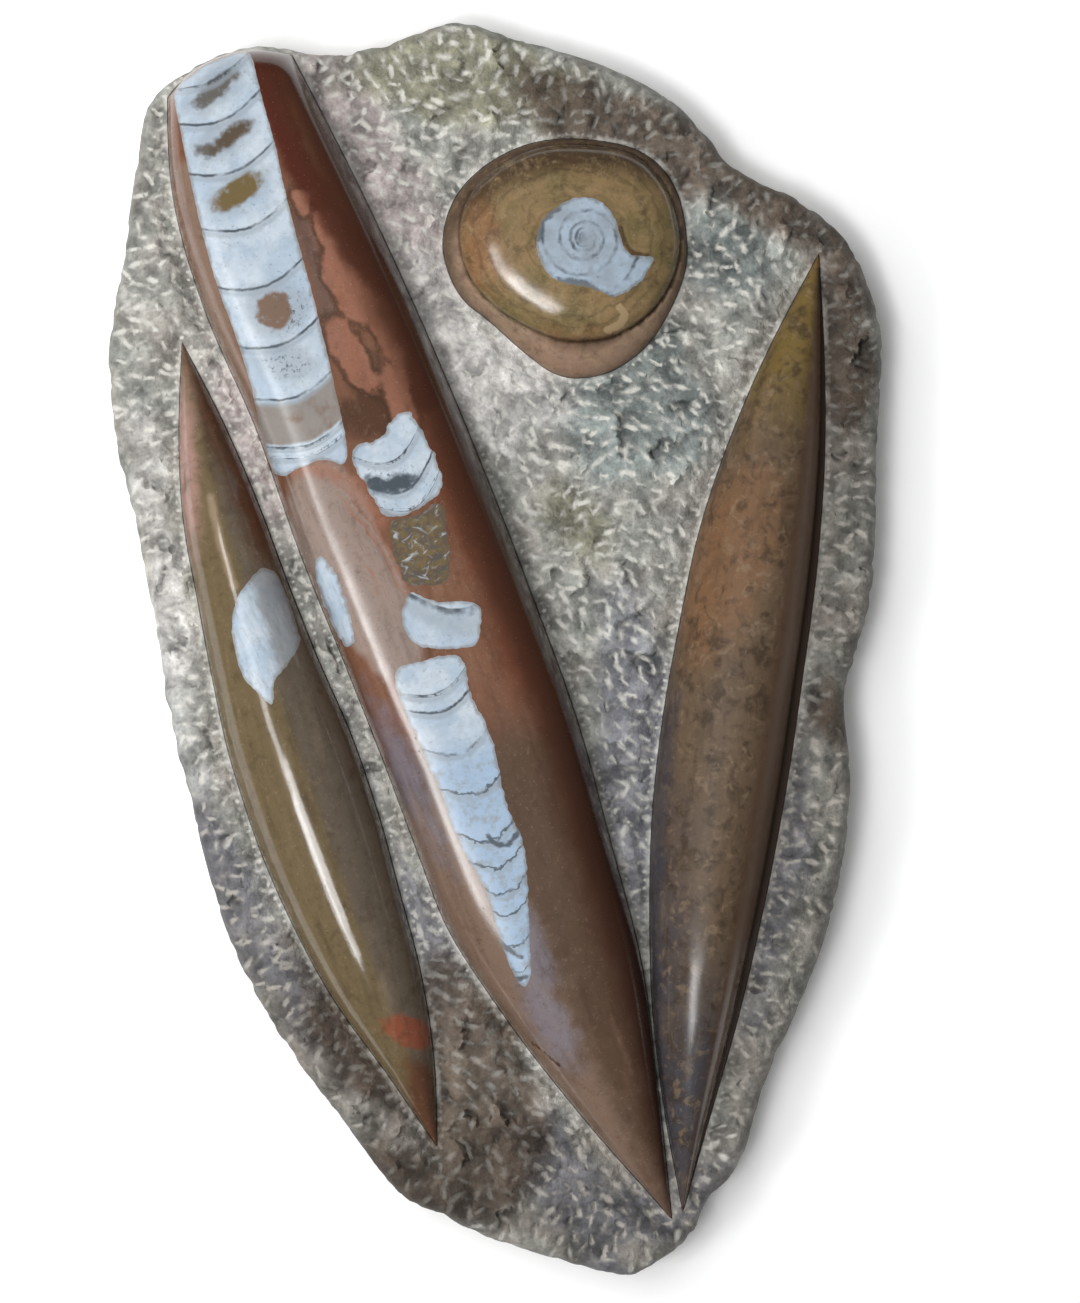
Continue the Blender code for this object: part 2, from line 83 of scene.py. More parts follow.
FOSSIL_NAMES = ("orthocone_center", "orthocone_left", "orthocone_right", "goniatite_disc")
SHELL_HOSTS = {
    "chambers_upper": "orthocone_center",
    "chambers_offset": "orthocone_center",
    "crushed_shell": "orthocone_center",
    "chambers_loose": "orthocone_center",
    "chambers_lower": "orthocone_center",
    "calcite_flank": "orthocone_center",
    "calcite_left": "orthocone_left",
    "goniatite_coil": "goniatite_disc",
}

# Where the ground takes another colour: ellipses as (x, y, radius, radius, turn in degrees)
GROUND_ZONES = {
    "mauve": ((-48, 204, 80, 18, -63), (-108, 92, 40, 10, -70),
              (-2, 22, 30, 11, -62)),
    # Partly pale bruised ground, partly painted light that lifts the shade beside the central
    # cone
    "chalky": ((-24, 145, 42, 17, -62), (11, 123, 26, 15, -50), (0, 104, 30, 10, -60),
               (-147, 20, 70, 10, -82)),
    "olive": ((-14, 256, 54, 21, -10), (36, 56, 22, 11, -50), (-148, 36, 34, 14, -84)),
    "umber": ((60, 231, 56, 19, -22), (122, 202, 34, 14, -32), (157, 143, 52, 15, -88),
              (152, -30, 16, 8, -80), (-11, -196, 58, 30, -72), (-62, -180, 36, 16, -50),
              (-26, -243, 36, 14, -20)),
    "slate": ((103, 179, 27, 19, -30), (69, 118, 40, 23, -60), (47, 98, 30, 20, -60),
              (-146, -30, 40, 10, -80)),
    "violet_tint_and_sheen": ((65, -45, 76, 18, -84), (29, -238, 42, 16, -55), (123, -104, 62, 14, 80),
               (-122, -100, 50, 13, -68), (-84, -163, 44, 10, -52), (-26, -140, 62, 10, -62),
               (-70, -46, 60, 8, -66), (70, -250, 30, 16, 30)),
    # Painted shade: darkens the ground towards the right and lower edges, where the light falls
    # off
    "painted_falloff_shade": ((158, 20, 190, 22, -86), (120, -190, 90, 30, -62), (40, -245, 80, 34, -10),
              (134, -100, 90, 36, 80), (-112, -140, 80, 20, -62),
              (-70, -190, 90, 34, -52)),
}
CENTER_ZONES = {
    "salmon": ((-86, 199, 7, 4, -60), (-72, 184, 18, 6, -65), (-63, 162, 20, 11, -60),
               (-64, 131, 19, 7, -60), (-46, 148, 32, 10, -70), (-42, 111, 20, 6, -72)),
    "rust": ((-96, 240, 32, 9, -72), (-73, 202, 27, 10, -60), (-58, 176, 20, 8, -60),
             (-11, 60, 50, 12, -68), (11, 0, 30, 10, -65)),
    "grey_brown": ((-80, 173, 27, 4, -70), (-73, 146, 22, 4, -75)),
    "olive_dark": ((-57, 102, 18, 9, -10), (-53, 113, 18, 10, -75)),
    # Partly the stone's pale beige, partly painted sheen: the soft reflection on the broad flank
    "window": ((-62, 33, 54, 18, -62), (-71, 57, 27, 17, -70)),
    # Painted sheen: the violet-grey reflection on the crown beside the lower shell
    "violet_tint_and_sheen": ((17, -134, 24, 6, -68), (-38, -58, 36, 6, -66), (25, -166, 22, 8, -62)),
    "whorls": ((-52, 46, 30, 9, -64),),
}
LEFT_ZONES = {
    "tips": ((-126, 108, 34, 7, -68), (-110, 72, 40, 8, -68)),
    "russet": ((-30, -204, 24, 8, -74),),
    "orange": ((-38, -171, 13, 6.5, -24),),
    "pink": ((-140, 84, 36, 6, -86),),
}
RIGHT_ZONES = {
    "olive": ((134, 143, 44, 20, 70),),
    "rust": ((103, 40, 44, 20, 72),),
    # Painted reflection: the bluish-grey haze over the lower half
    "violet_tint_and_sheen": ((87, -202, 50, 24, 80), (70, -140, 56, 13, 88)),
}
BOSS_ZONES = {
    "russet": ((32, 132, 24, 9, 0), (-6, 178, 8, 24, 0)),
}
# Strips and cracks along paths, as half width and points
CENTER_STRIPS = {
    "deep_red": (5.5, ((-104, 263), (-96, 240), (-87, 215), (-73, 193), (-60, 173), (-42, 156),
                       (-34, 133), (-30, 111))),
    "flank": (5.0, ((-137, 212), (-129, 173), (-121, 142), (-111, 111), (-103, 88))),
    "grey_rim": (4.5, ((-74, 242), (-54, 188), (-33, 143), (-11, 94), (2, 58), (16, 27))),
    "window_salmon": (3.0, ((-87, 80), (-73, 79), (-62, 73), (-51, 57))),
    "crack": (0.5, ((16, -175), (22, -180), (29, -186))),
}
# The streak is a painted highlight: the pale glint by the crest of the upper half
LEFT_STRIPS = {"streak": (1.6, ((-127, 68), (-122, 46), (-116, 28)))}
BOSS_STRIPS = {
    "comma": (1.7, ((55.5, 152.5), (58, 149.5), (56.5, 145.2), (50.5, 142.5))),
    "hook": (1.0, ((56, 188), (58, 181), (61.5, 176.7), (68, 175.4))),
}
# Where a stone changes along a cone, in millimetres from its upper end
OLIVE_FROM = 330.0       # the central cone turns olive
BLUISH_FROM = 335.0      # its calcite turns bluish
DULL_FROM = 350.0        # its left half turns dull
WORN_TO = 325.0          # the right cone's polish is worn as far as this
# Patches of mud in the calcite
MUD_ZONES = {
    "mud_grey": ((-124.8, 248.7, 12.5, 4.2, 41), (-128.3, 221.6, 4.8, 3.6, 0)),
    "mud_brown": ((-117, 228, 10.5, 3.8, 35),),
    "mud_gold": ((-114, 203, 13, 5.4, 35),),
    "mud_rose": ((-97.6, 150, 8, 8.6, 0),),
    "mud_dark": ((-45, 73, 11, 3.6, 12), (-54, 74, 4, 3, 0)),
    "specks": ((-92, 127, 11, 6, -10), (-45, 74, 14, 7, 12), (-90, 150, 7, 10, 0)),
    "halo": ((-97, 151, 14, 13, 0), (-114, 203, 17, 8, 35), (-121, 226, 17, 8, 30),
             (-124, 249, 17, 8, 41), (-92, 127, 15, 8, -10)),
}
# Chamber walls that stand out dark in the lower shell
DARK_WALL_PATHS = (((-3, -83), (1, -87), (6, -87), (11, -81), (12, -72)),
                   ((0, -128), (7, -134), (12, -137)), ((4, -141), (9, -147), (14, -146)))
DARK_WALL = 1.0          # half their width
TAN_CHAMBER = (173.5, 9.5)         # its middle and half its depth, along the central cone
# The crease between the goniatite's dome and its ring
DOME_OUTLINE = ((38, 226), (61, 222), (76, 208), (83, 187), (81, 169), (72, 153), (58, 142),
                (43, 138), (28, 138.5), (14, 144), (0, 153), (-11, 166), (-16, 183), (-13, 201),
                (0, 215), (17, 224))
COIL_CENTRE = (40.0, 183.0)
COIL_RATIO = 1.7         # growth of the whorls' radius in one turn
COIL_ZONES = {
    "nibbles": ((24, 195, 7, 2.8, 35), (20, 186, 5, 2.4, 80), (37, 162, 9, 3.2, -12),
                (48, 156, 5, 2.4, 0)),
}
# How far a calcite shell's broken edge strays, in millimetres
RAGGED_EDGE = {"chambers_upper": 0.25, "chambers_offset": 0.9, "crushed_shell": 1.1,
               "chambers_loose": 0.5, "chambers_lower": 0.6, "calcite_flank": 1.0,
               "calcite_left": 0.5, "goniatite_coil": 0.6}


# ---------------------------------------------------------------------------------------------
# Plane geometry
# ---------------------------------------------------------------------------------------------

def curve_through(stations, values, at):
    """Cubic curve through the values at the stations, level where they turn."""
    xs, ys = np.array(stations, float), np.array(values, float)
    step = np.diff(xs)
    rise = np.diff(ys) / step
    slope = np.concatenate(([rise[0]], (rise[:-1] + rise[1:]) / 2, [rise[-1]]))
    slope[1:-1][rise[:-1] * rise[1:] <= 0] = 0
    i = np.clip(np.searchsorted(xs, at, side="right") - 1, 0, len(xs) - 2)
    t = (at - xs[i]) / step[i]
    return ((1 + 2 * t) * (1 - t) ** 2 * ys[i] + t * (1 - t) ** 2 * step[i] * slope[i]
            + t * t * (3 - 2 * t) * ys[i + 1] - t * t * (1 - t) * step[i] * slope[i + 1])


def resample(path, step):
    """Points along an open path, evenly spaced and close to step apart, ends kept."""
    run = np.concatenate(([0], np.cumsum(np.linalg.norm(np.diff(path, axis=0), axis=1))))
    at = np.linspace(0, run[-1], max(2, round(run[-1] / step) + 1))
    return np.stack([np.interp(at, run, path[:, k]) for k in (0, 1)], axis=1)


def spline_loop(points, count):
    """Closed Catmull-Rom curve through the points, with count points to each side."""
    before, after, next_after = (np.roll(points, k, 0) for k in (1, -1, -2))
    pieces = []
    for t in np.arange(count) / count:
        pieces.append(0.5 * (2 * points + (after - before) * t
                             + (2 * before - 5 * points + 4 * after - next_after) * t ** 2
                             + (3 * points - before - 3 * after + next_after) * t ** 3))
    return np.stack(pieces, axis=1).reshape(-1, 2)


def even_loop(loop, step):
    """The closed loop as points close to step apart."""
    return resample(np.vstack([loop, loop[:1]]), step)[:-1]


def smooth_loop(points, step):
    """Closed curve through the points, as points close to step apart."""
    return even_loop(spline_loop(points, 8), step)


def outward(loop):
    """Unit normals of a counter-clockwise loop at its points."""
    side = np.roll(loop, -1, 0) - np.roll(loop, 1, 0)
    normal = np.stack([side[:, 1], -side[:, 0]], axis=1)
    return normal / np.linalg.norm(normal, axis=1)[:, None]


AT_ONCE = 4000           # points tested against a loop at one time


def is_inside(points, loop):
    """True for each point that lies inside the loop."""
    result = np.zeros(len(points), bool)
    x0, y0 = loop[:, 0], loop[:, 1]
    x1, y1 = np.roll(x0, -1), np.roll(y0, -1)
    run = np.where(y1 == y0, 1.0, y1 - y0)
    low, high = loop.min(axis=0), loop.max(axis=0)
    near = np.flatnonzero(((points >= low) & (points <= high)).all(axis=1))
    for part in np.array_split(near, len(near) // AT_ONCE + 1):
        x, y = points[part, 0, None], points[part, 1, None]
        crosses = ((y0 > y) != (y1 > y)) & (x < (x1 - x0) * (y - y0) / run + x0)
        result[part] = crosses.sum(axis=1) % 2 == 1
    return result


def distance_to(points, loop):
    """Distance from each point to the nearest side of the loop."""
    side = np.roll(loop, -1, 0) - loop
    square = (side * side).sum(axis=1)
    result = np.empty(len(points))
    for part in np.array_split(np.arange(len(points)), len(points) // AT_ONCE + 1):
        offset = points[part, None] - loop[None]
        t = np.clip((offset * side).sum(2) / square, 0, 1)
        away = offset - t[..., None] * side
        result[part] = np.sqrt((away * away).sum(2).min(axis=1))
    return result


def mm(metres):
    return metres / MM


def ease(t):
    t = np.clip(t, 0, 1)
    return t * t * (3 - 2 * t)


def fractal(points, size, octaves=3, seed=0.0):
    """Fractal noise over the plane, about -1 to 1, with features of a size."""
    return np.array([noise.fractal((x / size, y / size, seed), 1.0, 2.0, octaves)
                     for x, y in points.tolist()])


def patches(corners, walls):
    """Groups of triangles that can be reached from each other without crossing a wall."""
    beside = {}
    for face, (a, b, c) in enumerate(corners.tolist()):
        for side in ((a, b), (b, c), (c, a)):
            beside.setdefault((min(side), max(side)), []).append(face)
    neighbours = [[] for _ in corners]
    for side, pair in beside.items():
        if side not in walls and len(pair) == 2:
            neighbours[pair[0]].append(pair[1])
            neighbours[pair[1]].append(pair[0])
    seen = [False] * len(corners)
    for first in range(len(corners)):
        if seen[first]:
            continue
        seen[first] = True
        patch = [first]
        for face in patch:
            for other in neighbours[face]:
                if not seen[other]:
                    seen[other] = True
                    patch.append(other)
        yield np.array(patch)


LEAST_AREA = 0.001       # a patch under this is a flat sliver beside a straight stretch


def fill(loops, inner=()):
    """Triangles over the first loop and around the others, through the inner points."""
    points = np.vstack(list(loops) + ([inner] if len(inner) else []))
    sides, start = [], 0
    for loop in loops:
        ids = np.arange(start, start + len(loop))
        sides += list(zip(ids.tolist(), np.roll(ids, -1).tolist()))
        start += len(loop)
    flat = [tuple(p) for p in points.tolist()]
    made, _, faces, origins, _, _ = delaunay_2d_cdt(flat, sides, [], 0, 1e-6, True)
    if len(made) != len(points):
        raise ValueError("outlines cross, or points coincide")
    source = np.array([ids[0] for ids in origins])
    corners = source[np.array(faces)]
    a, b, c = (points[corners[:, k]] for k in range(3))
    area = (b[:, 0] - a[:, 0]) * (c[:, 1] - a[:, 1]) - (b[:, 1] - a[:, 1]) * (c[:, 0] - a[:, 0])
    corners[area < 0] = corners[area < 0][:, ::-1]
    keep = np.zeros(len(corners), bool)
    for patch in patches(corners, {(min(side), max(side)) for side in sides}):
        largest = patch[np.argmax(np.abs(area[patch]))]
        middle = points[corners[largest]].mean(axis=0)[None]
        is_sliver = np.abs(area[patch]).sum() < LEAST_AREA
        in_hole = any(is_inside(middle, hole)[0] for hole in loops[1:])
        keep[patch] = is_inside(middle, loops[0])[0] and not in_hole and not is_sliver
    return points, corners[keep]


def keep_inside(points, outline, holes, clearance):
    """The points inside the outline, outside the holes and clear of both."""
    points = points[is_inside(points, outline)]
    points = points[distance_to(points, outline) > clearance]
    for hole in holes:
        low, high = hole.min(axis=0) - clearance, hole.max(axis=0) + clearance
        close = ((points > low) & (points < high)).all(axis=1)
        blocked = np.zeros(len(points), bool)
        near = points[close]
        blocked[close] = is_inside(near, hole) | (distance_to(near, hole) <= clearance)
        points = points[~blocked]
    return points


def thin_out(points, spacing):
    """The points in order, without those that fall in a cell already taken or too near one."""
    taken, kept = {}, []
    for index, (x, y) in enumerate(points.tolist()):
        i, j = int(x // spacing), int(y // spacing)
        beside = (taken.get((i + di, j + dj)) for di in (-1, 0, 1) for dj in (-1, 0, 1))
        if not any(other and (other[0] - x) ** 2 + (other[1] - y) ** 2 < spacing * spacing
                   for other in beside):
            taken[(i, j)] = (x, y)
            kept.append(index)
    return points[kept]


def grid_over(loop, step, random, jitter=0.25):
    """Points of a slightly shaken triangular grid over the loop's box."""
    low, high = loop.min(axis=0), loop.max(axis=0)
    rows = np.arange(low[1], high[1], step * math.sqrt(0.75))
    columns = np.arange(low[0], high[0], step)
    x, y = np.meshgrid(columns, rows)
    x = x + step / 2 * (np.arange(len(rows)) % 2)[:, None]
    points = np.stack([x.ravel(), y.ravel()], axis=1)
    return points + random.uniform(-jitter, jitter, points.shape) * step


def search_tree(points):
    """A tree that finds the nearest of the points."""
    tree = KDTree(len(points))
    for k, (x, y) in enumerate(points.tolist()):
        tree.insert((x, y, 0), k)
    tree.balance()
    return tree


# ---------------------------------------------------------------------------------------------
# Outlines read from the frame
# ---------------------------------------------------------------------------------------------

def read(items, key, width=1, kind=float):
    """One property of every item of a mesh, as an array."""
    flat = np.empty(len(items) * width, kind)
    items.foreach_get(key, flat)
    return flat if width == 1 else flat.reshape(-1, width)


def corners_of(node):
    return read(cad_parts[node].data.vertices, "co", 3) / MM


def floor_of(node):
    """The height of a CAD node's underside, in millimetres."""
    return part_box(node)[0].z / MM


def underside_loop(node):
    """The outline of a CAD node's flat underside, counter-clockwise seen from above."""
    corners = np.round(corners_of(node), 3)
    level = corners[:, 2].min()
    once = set()
    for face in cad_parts[node].data.polygons:
        ring = [tuple(corners[k]) for k in face.vertices]
        if all(abs(point[2] - level) < 0.01 for point in ring):
            for start, end in zip(ring, ring[1:] + ring[:1]):
                if (end, start) in once:
                    once.remove((end, start))
                else:
                    once.add((start, end))
    following = dict(once)
    start = min(following)
    loop = [start]
    while following[loop[-1]] != start:
        loop.append(following[loop[-1]])
    return np.array(loop)[::-1, :2]


def waist_loop(node):
    """The slab's outline where it is widest, counter-clockwise seen from above."""
    corners = np.round(corners_of(node), 3)
    ring = np.unique(corners[np.abs(corners[:, 2] - WAIST) < 0.01][:, :2], axis=0)
    return ring[np.argsort(np.arctan2(ring[:, 1], ring[:, 0]))]


# ---------------------------------------------------------------------------------------------
# Shapes of the polished bodies
# ---------------------------------------------------------------------------------------------

GRINDING_WAVE = 0.035    # how far hand grinding strays from the true shape
SWELL_POWER = 0.8        # how quickly a cone gains height as it widens
BLUNT_END = (5.5, 0.011, -8.0)     # start, bow and middle of the end of the central cone
SIDE_SAMPLES, END_SAMPLES = 900, 90
BEVEL_POWER, DOME_POWER = 6.0, 2.6           # fullness of the boss's ring and of its dome
# The crease round the dome: least depth, more of it at the foot, and share of the dome's reach
CREASE_DEPTH, CREASE_GAIN, CREASE_WIDTH = 0.3, 1.3, 0.022


def grinding_wave(points):
    """The faint unevenness that hand grinding leaves, in millimetres."""
    x, y = points[:, 0], points[:, 1]
    across = np.sin(x / 5.3 + 0.9 * np.sin(y / 17))
    return GRINDING_WAVE * (across + np.sin(y / 9.1 + x / 13 + 1.7)
                            + 0.7 * np.sin((x - y) / 4.1 + 0.5))


def round_flank(t, power):
    """Profile from 1 at the crest to 0 at the foot: an ellipse at 2, flatter on top above it."""
    return np.sqrt(1 - np.clip(t, 0, 1) ** power)


class Cone:
    """A polished orthocone on a straight axis from its upper end to its lower tip."""

    def __init__(self, node, upper, lower, rise, crest_place, fullness, groove=1.0,
                 end_depth=None):
        self.upper = np.array(upper, float)
        axis = np.array(lower, float) - self.upper
        self.length = float(np.linalg.norm(axis))
        self.along = axis / self.length
        self.across = np.array([-self.along[1], self.along[0]])
        self.rise, self.crest_place, self.groove = rise, crest_place, groove
        self.fullness = fullness
        self.blunt = end_depth is not None
        u, v = self.local(underside_loop(node))
        body = u > end_depth if self.blunt else u > -1
        self.left_edge = self.edge_of(u, v, body & (v < 0.02))
        self.right_edge = self.edge_of(u, v, body & (v > -0.02))
        middle = np.linspace(0, self.length, 60)
        low, high = self.edges(middle)
        self.widest = (high - low).max() / 2

    @staticmethod
    def edge_of(u, v, members):
        order = np.argsort(u[members])
        return u[members][order], v[members][order]

    def edges(self, u):
        u = np.clip(u, 0, self.length)
        return curve_through(*self.left_edge, u), curve_through(*self.right_edge, u)

    def end_line(self, v):
        """Where the cone starts along its axis, at a place across it."""
        start, bow, middle = BLUNT_END
        return start + bow * (v - middle) ** 2 if self.blunt else 0.0 * v

    def place(self, u, v):
        return self.upper + u[:, None] * self.along + v[:, None] * self.across

    def local(self, points):
        offset = points - self.upper
        return offset @ self.along, offset @ self.across

    def ratio(self, points):
        """Distance along, and place across from -1 at the left edge to 1 at the right."""
        u, v = self.local(points)
        low, high = self.edges(u)
        half = np.maximum((high - low) / 2, 0.01)
        return u, (v - (low + high) / 2) / half, half

    def height(self, points):
        u, q, half = self.ratio(points)
        crest = self.crest_place
        t = np.where(q > crest, (q - crest) / (self.groove - crest), (crest - q) / (1 + crest))
        power = np.interp(u / self.length, *self.fullness)
        rise = self.rise * np.clip(half / self.widest, 0, 1) ** SWELL_POWER
        rise = rise * round_flank(t, power)
        if self.blunt:
            near_end = np.clip(1 - (u - self.end_line(self.local(points)[1])) / SHOULDER, 0, 1)
            rise = rise * np.sqrt(1 - near_end ** 2)
        return FOOT + rise + grinding_wave(points) * ease(rise / 6)

    def outline(self, step):
        corner = [0.0, 0.0]
        for _ in range(6):
            low, high = self.edges(np.array(corner))
            corner = [self.end_line(low[0]), self.end_line(high[1])]
        down = np.linspace(corner[0], self.length, SIDE_SAMPLES)
        up = np.linspace(self.length, corner[1], SIDE_SAMPLES)
        left, right = self.edges(down)[0], self.edges(up)[1]
        sides = [resample(self.place(down, left), step)[:-1],
                 resample(self.place(up, right), step)[:-1]]
        if self.blunt:
            v = np.linspace(right[-1], left[0], END_SAMPLES)
            sides.append(resample(self.place(self.end_line(v), v), step)[:-1])
        return np.vstack(sides)

    def lattice(self, step, count):
        """Points in rows that follow the blunt end and in lines that follow the edges."""
        rows = np.arange(step / 3, self.length, step)
        turn = np.linspace(-1, 1, count)
        lines = 0.55 * np.sin(turn * math.pi / 2) + 0.45 * turn
        row, line = (grid.ravel() for grid in np.meshgrid(rows, lines, indexing="ij"))
        u = row
        for _ in range(4):
            low, high = self.edges(u)
            v = (low + high) / 2 + line * (high - low) / 2
            u = row + self.end_line(v) * (1 - ease(row / 60))
        return self.place(u, v)[u < self.length]


class Edge:
    """A closed outline seen from a middle, as a reach in each direction."""

    def __init__(self, middle, loop):
        self.middle = middle
        x, y = (loop - middle).T
        order = np.argsort(np.arctan2(y, x))
        self.turns, self.reach = np.arctan2(y, x)[order], np.hypot(x, y)[order]

    def share(self, points):
        """How far out points lie: 0 in the middle and 1 at the outline."""
        x, y = (points - self.middle).T
        reach = np.interp(np.arctan2(y, x), self.turns, self.reach, period=2 * math.pi)
        return np.hypot(x, y) / reach

    def ring(self, scale, step):
        count = max(8, round(2 * math.pi * scale * self.reach.mean() / step))
        turn = np.arange(count) * 2 * math.pi / count
        reach = scale * np.interp(turn, self.turns, self.reach, period=2 * math.pi)
        return self.middle + reach[:, None] * np.stack([np.cos(turn), np.sin(turn)], axis=1)


class Boss:
    """The goniatite's pear-shaped boss: a bevelled ring, a crease and a dome inside it."""

    def __init__(self, node, centre, dome_outline, crease_rise, dome_rise):
        self.centre = np.array(centre)
        self.foot = Edge(self.centre, spline_loop(underside_loop(node), 4))
        self.dome = Edge(self.centre, spline_loop(np.array(dome_outline, float), 12))
        self.reach = self.foot.reach
        self.crease_rise, self.dome_rise = crease_rise, dome_rise

    def ratio(self, points):
        """Distance out, from 0 in the middle to 1 at the edge, of the boss and of its dome."""
        return self.foot.share(points), self.dome.share(points)

    def foot_side(self, points):
        """1 at the foot of the boss, where the ring is broad, and 0 on the far side."""
        upward = (points - self.centre) @ (-0.2, 0.98) / self.reach.mean()
        return np.clip(0.5 - 0.5 * upward, 0, 1)

    def height(self, points):
        ring, dome = self.ratio(points)
        bevel = self.crease_rise * round_flank(ring, BEVEL_POWER)
        crease = CREASE_DEPTH + CREASE_GAIN * self.foot_side(points)
        bevel = bevel - crease * np.exp(-((dome - 1.0) / CREASE_WIDTH) ** 2)
        cap = (self.dome_rise - self.crease_rise) * round_flank(dome, DOME_POWER)
        return FOOT + bevel + cap + grinding_wave(points) * ease((1 - ring) / 0.1)

    def outline(self, step):
        return self.foot.ring(1.0, step)

    def lattice(self, step, count):
        scales = np.sin(np.linspace(0.02, math.pi / 2, count)) * 0.6
        scales = scales + 0.4 * np.linspace(0.02, 1, count)
        rings = [self.dome.ring(scale, step) for scale in scales]
        outer = [self.foot.ring(scale, step)
                 for scale in (0.998, 0.992, 0.98, 0.965, 0.95, 0.93, 0.91, 0.89, 0.87, 0.84)]
        beyond = np.vstack(outer)
        beyond = beyond[self.dome.share(beyond) > 1.02]
        return np.vstack(rings + [beyond])


def surface_normals(shape, points, reach=0.12):
    """Unit normals of a shape's polished face, from its slope each way."""
    east = shape.height(points + (reach, 0)) - shape.height(points - (reach, 0))
    north = shape.height(points + (0, reach)) - shape.height(points - (0, reach))
    normals = np.stack([-east, -north, np.full(len(points), 2 * reach)], axis=1)
    return normals / np.linalg.norm(normals, axis=1)[:, None]


SHAPES = {
    "orthocone_center": Cone("orthocone_center", (-118.0, 274.0), (79.5, -256.0), 31.5, 0.05,
                             ((0.5, 0.92), (7.5, 2.6)), end_depth=13.0),
    "orthocone_left": Cone("orthocone_left", (-140.5, 137.5), (-26.0, -223.5), 25.5, 0.02,
                           ((0.15, 0.45), (1.7, 2.0))),
    "orthocone_right": Cone("orthocone_right", (145.5, 177.5), (84.5, -252.5), 28.0, 0.12,
                            ((0.0, 1.0), (2.2, 2.1)), groove=0.87),
    "goniatite_disc": Boss("goniatite_disc", (33.5, 179.0), DOME_OUTLINE, 11.0, 20.0),
}


# ---------------------------------------------------------------------------------------------
# Meshes
# ---------------------------------------------------------------------------------------------

class Solid:
    """Collects the points, faces and fields of one closed mesh."""

    def __init__(self):
        self.points, self.heights, self.faces = [], [], []
        self.count = 0

    def add_points(self, points, heights):
        first = self.count
        self.points.append(points)
        self.heights.append(np.broadcast_to(heights, len(points)).astype(float))
        self.count += len(points)
        return np.arange(first, self.count)

    def add_faces(self, ids, corners, up=True):
        corners = ids[corners]
        self.faces += (corners if up else corners[:, ::-1]).tolist()

    def wall(self, upper, lower, outwards=True):
        """Quads between two rings of a counter-clockwise loop."""
        quads = np.stack([upper, lower, np.roll(lower, -1), np.roll(upper, -1)], axis=1)
        self.faces += (quads if outwards else quads[:, ::-1]).tolist()

    def finish(self, name, fields, top_normals=None, sharp=50.0):
        plane = np.vstack(self.points)
        rise = np.concatenate(self.heights)
        mesh = bpy.data.meshes.new(name)
        mesh.from_pydata(np.column_stack([plane, rise]) * MM, [], self.faces)
        for key, field in fields.items():
            values = field(plane) if callable(field) else field
            whole = np.zeros(len(plane), np.float32)
            whole[:len(values)] = values
            mesh.attributes.new(key, "FLOAT", "POINT").data.foreach_set("value", whole)
        mesh.shade_smooth()
        mesh.set_sharp_from_angle(angle=math.radians(sharp))
        if top_normals is not None:
            self.set_normals(mesh, top_normals)
        piece = bpy.data.objects.new(name, mesh)
        bpy.context.scene.collection.objects.link(piece)
        return piece

    @staticmethod
    def set_normals(mesh, top_normals):
        """Exact normals on the shaped top; other faces keep their own."""
        loops = read(mesh.loops, "vertex_index", kind=int)
        totals = read(mesh.polygons, "loop_total", kind=int)
        own = read(mesh.polygons, "normal", 3)
        chosen = np.repeat(own, totals, axis=0)
        on_top = np.repeat(own[:, 2] > 0.02, totals) & (loops < len(top_normals))
        chosen[on_top] = top_normals[loops[on_top]]
        mesh.normals_split_custom_set(chosen.tolist())


def carve(name, outline, heights, skirt, pockets=(), inner=(), fields=None, shape=None,
          sharp=50.0):
    """A closed solid with a shaped top, a skirt of rings below it and flat-floored pockets.

    skirt lists (ring, height) below the outline, the last one round the flat underside.
    pockets lists (loop, floor height).
    """
    solid = Solid()
    points, corners = fill([outline] + [loop for loop, _ in pockets], inner)
    ids = solid.add_points(points, heights(points) if callable(heights) else heights)
    solid.add_faces(ids, corners)
    ring = ids[:len(outline)]
    for lower_loop, level in skirt:
        lower = solid.add_points(lower_loop, level)
        solid.wall(ring, lower)
        ring = lower
    solid.add_faces(ring, fill([skirt[-1][0]])[1], up=False)
    start = len(outline)
    for loop, floor in pockets:
        ring = ids[start:start + len(loop)]
        lower = solid.add_points(loop, floor)
        solid.wall(ring, lower, outwards=False)
        solid.add_faces(lower, fill([loop])[1])
        start += len(loop)
    normals = surface_normals(shape, points) if shape else None
    return solid.finish(name, fields or {}, normals, sharp)


def seat(piece, node, material):
    """Puts a finished piece on the frame in place of its CAD node."""
    piece.data.materials.append(material)
    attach(piece, "root")
    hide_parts(node)
    return piece


# ---------------------------------------------------------------------------------------------
# Fields that place colours, as signed distances in millimetres (above zero inside)
# ---------------------------------------------------------------------------------------------

def blobs(points, ellipses):
    """Signed distance to the nearest of several ellipses: (x, y, radius, radius, turn)."""
    best = np.full(len(points), -100.0)
    for x, y, long_radius, short_radius, turn in ellipses:
        turn = math.radians(turn)
        offset = points - (x, y)
        along = offset @ (math.cos(turn), math.sin(turn)) / long_radius
        across = offset @ (-math.sin(turn), math.cos(turn)) / short_radius
        best = np.maximum(best, (1 - np.hypot(along, across)) * min(long_radius, short_radius))
    return best


def strip(points, path, half_width):
    """Signed distance to the edge of a strip along an open path."""
    path = np.array(path, float)
    start, side = path[:-1], np.diff(path, axis=0)
    offset = points[:, None] - start
    t = np.clip((offset * side).sum(2) / (side * side).sum(1), 0, 1)
    away = np.linalg.norm(offset - t[..., None] * side, axis=2)
    return half_width - away.min(axis=1)


def zone_fields(zones):
    """A field for each zone's ellipses."""
    return {name: (lambda plane, e=ellipses: blobs(plane, e)) for name, ellipses in zones.items()}


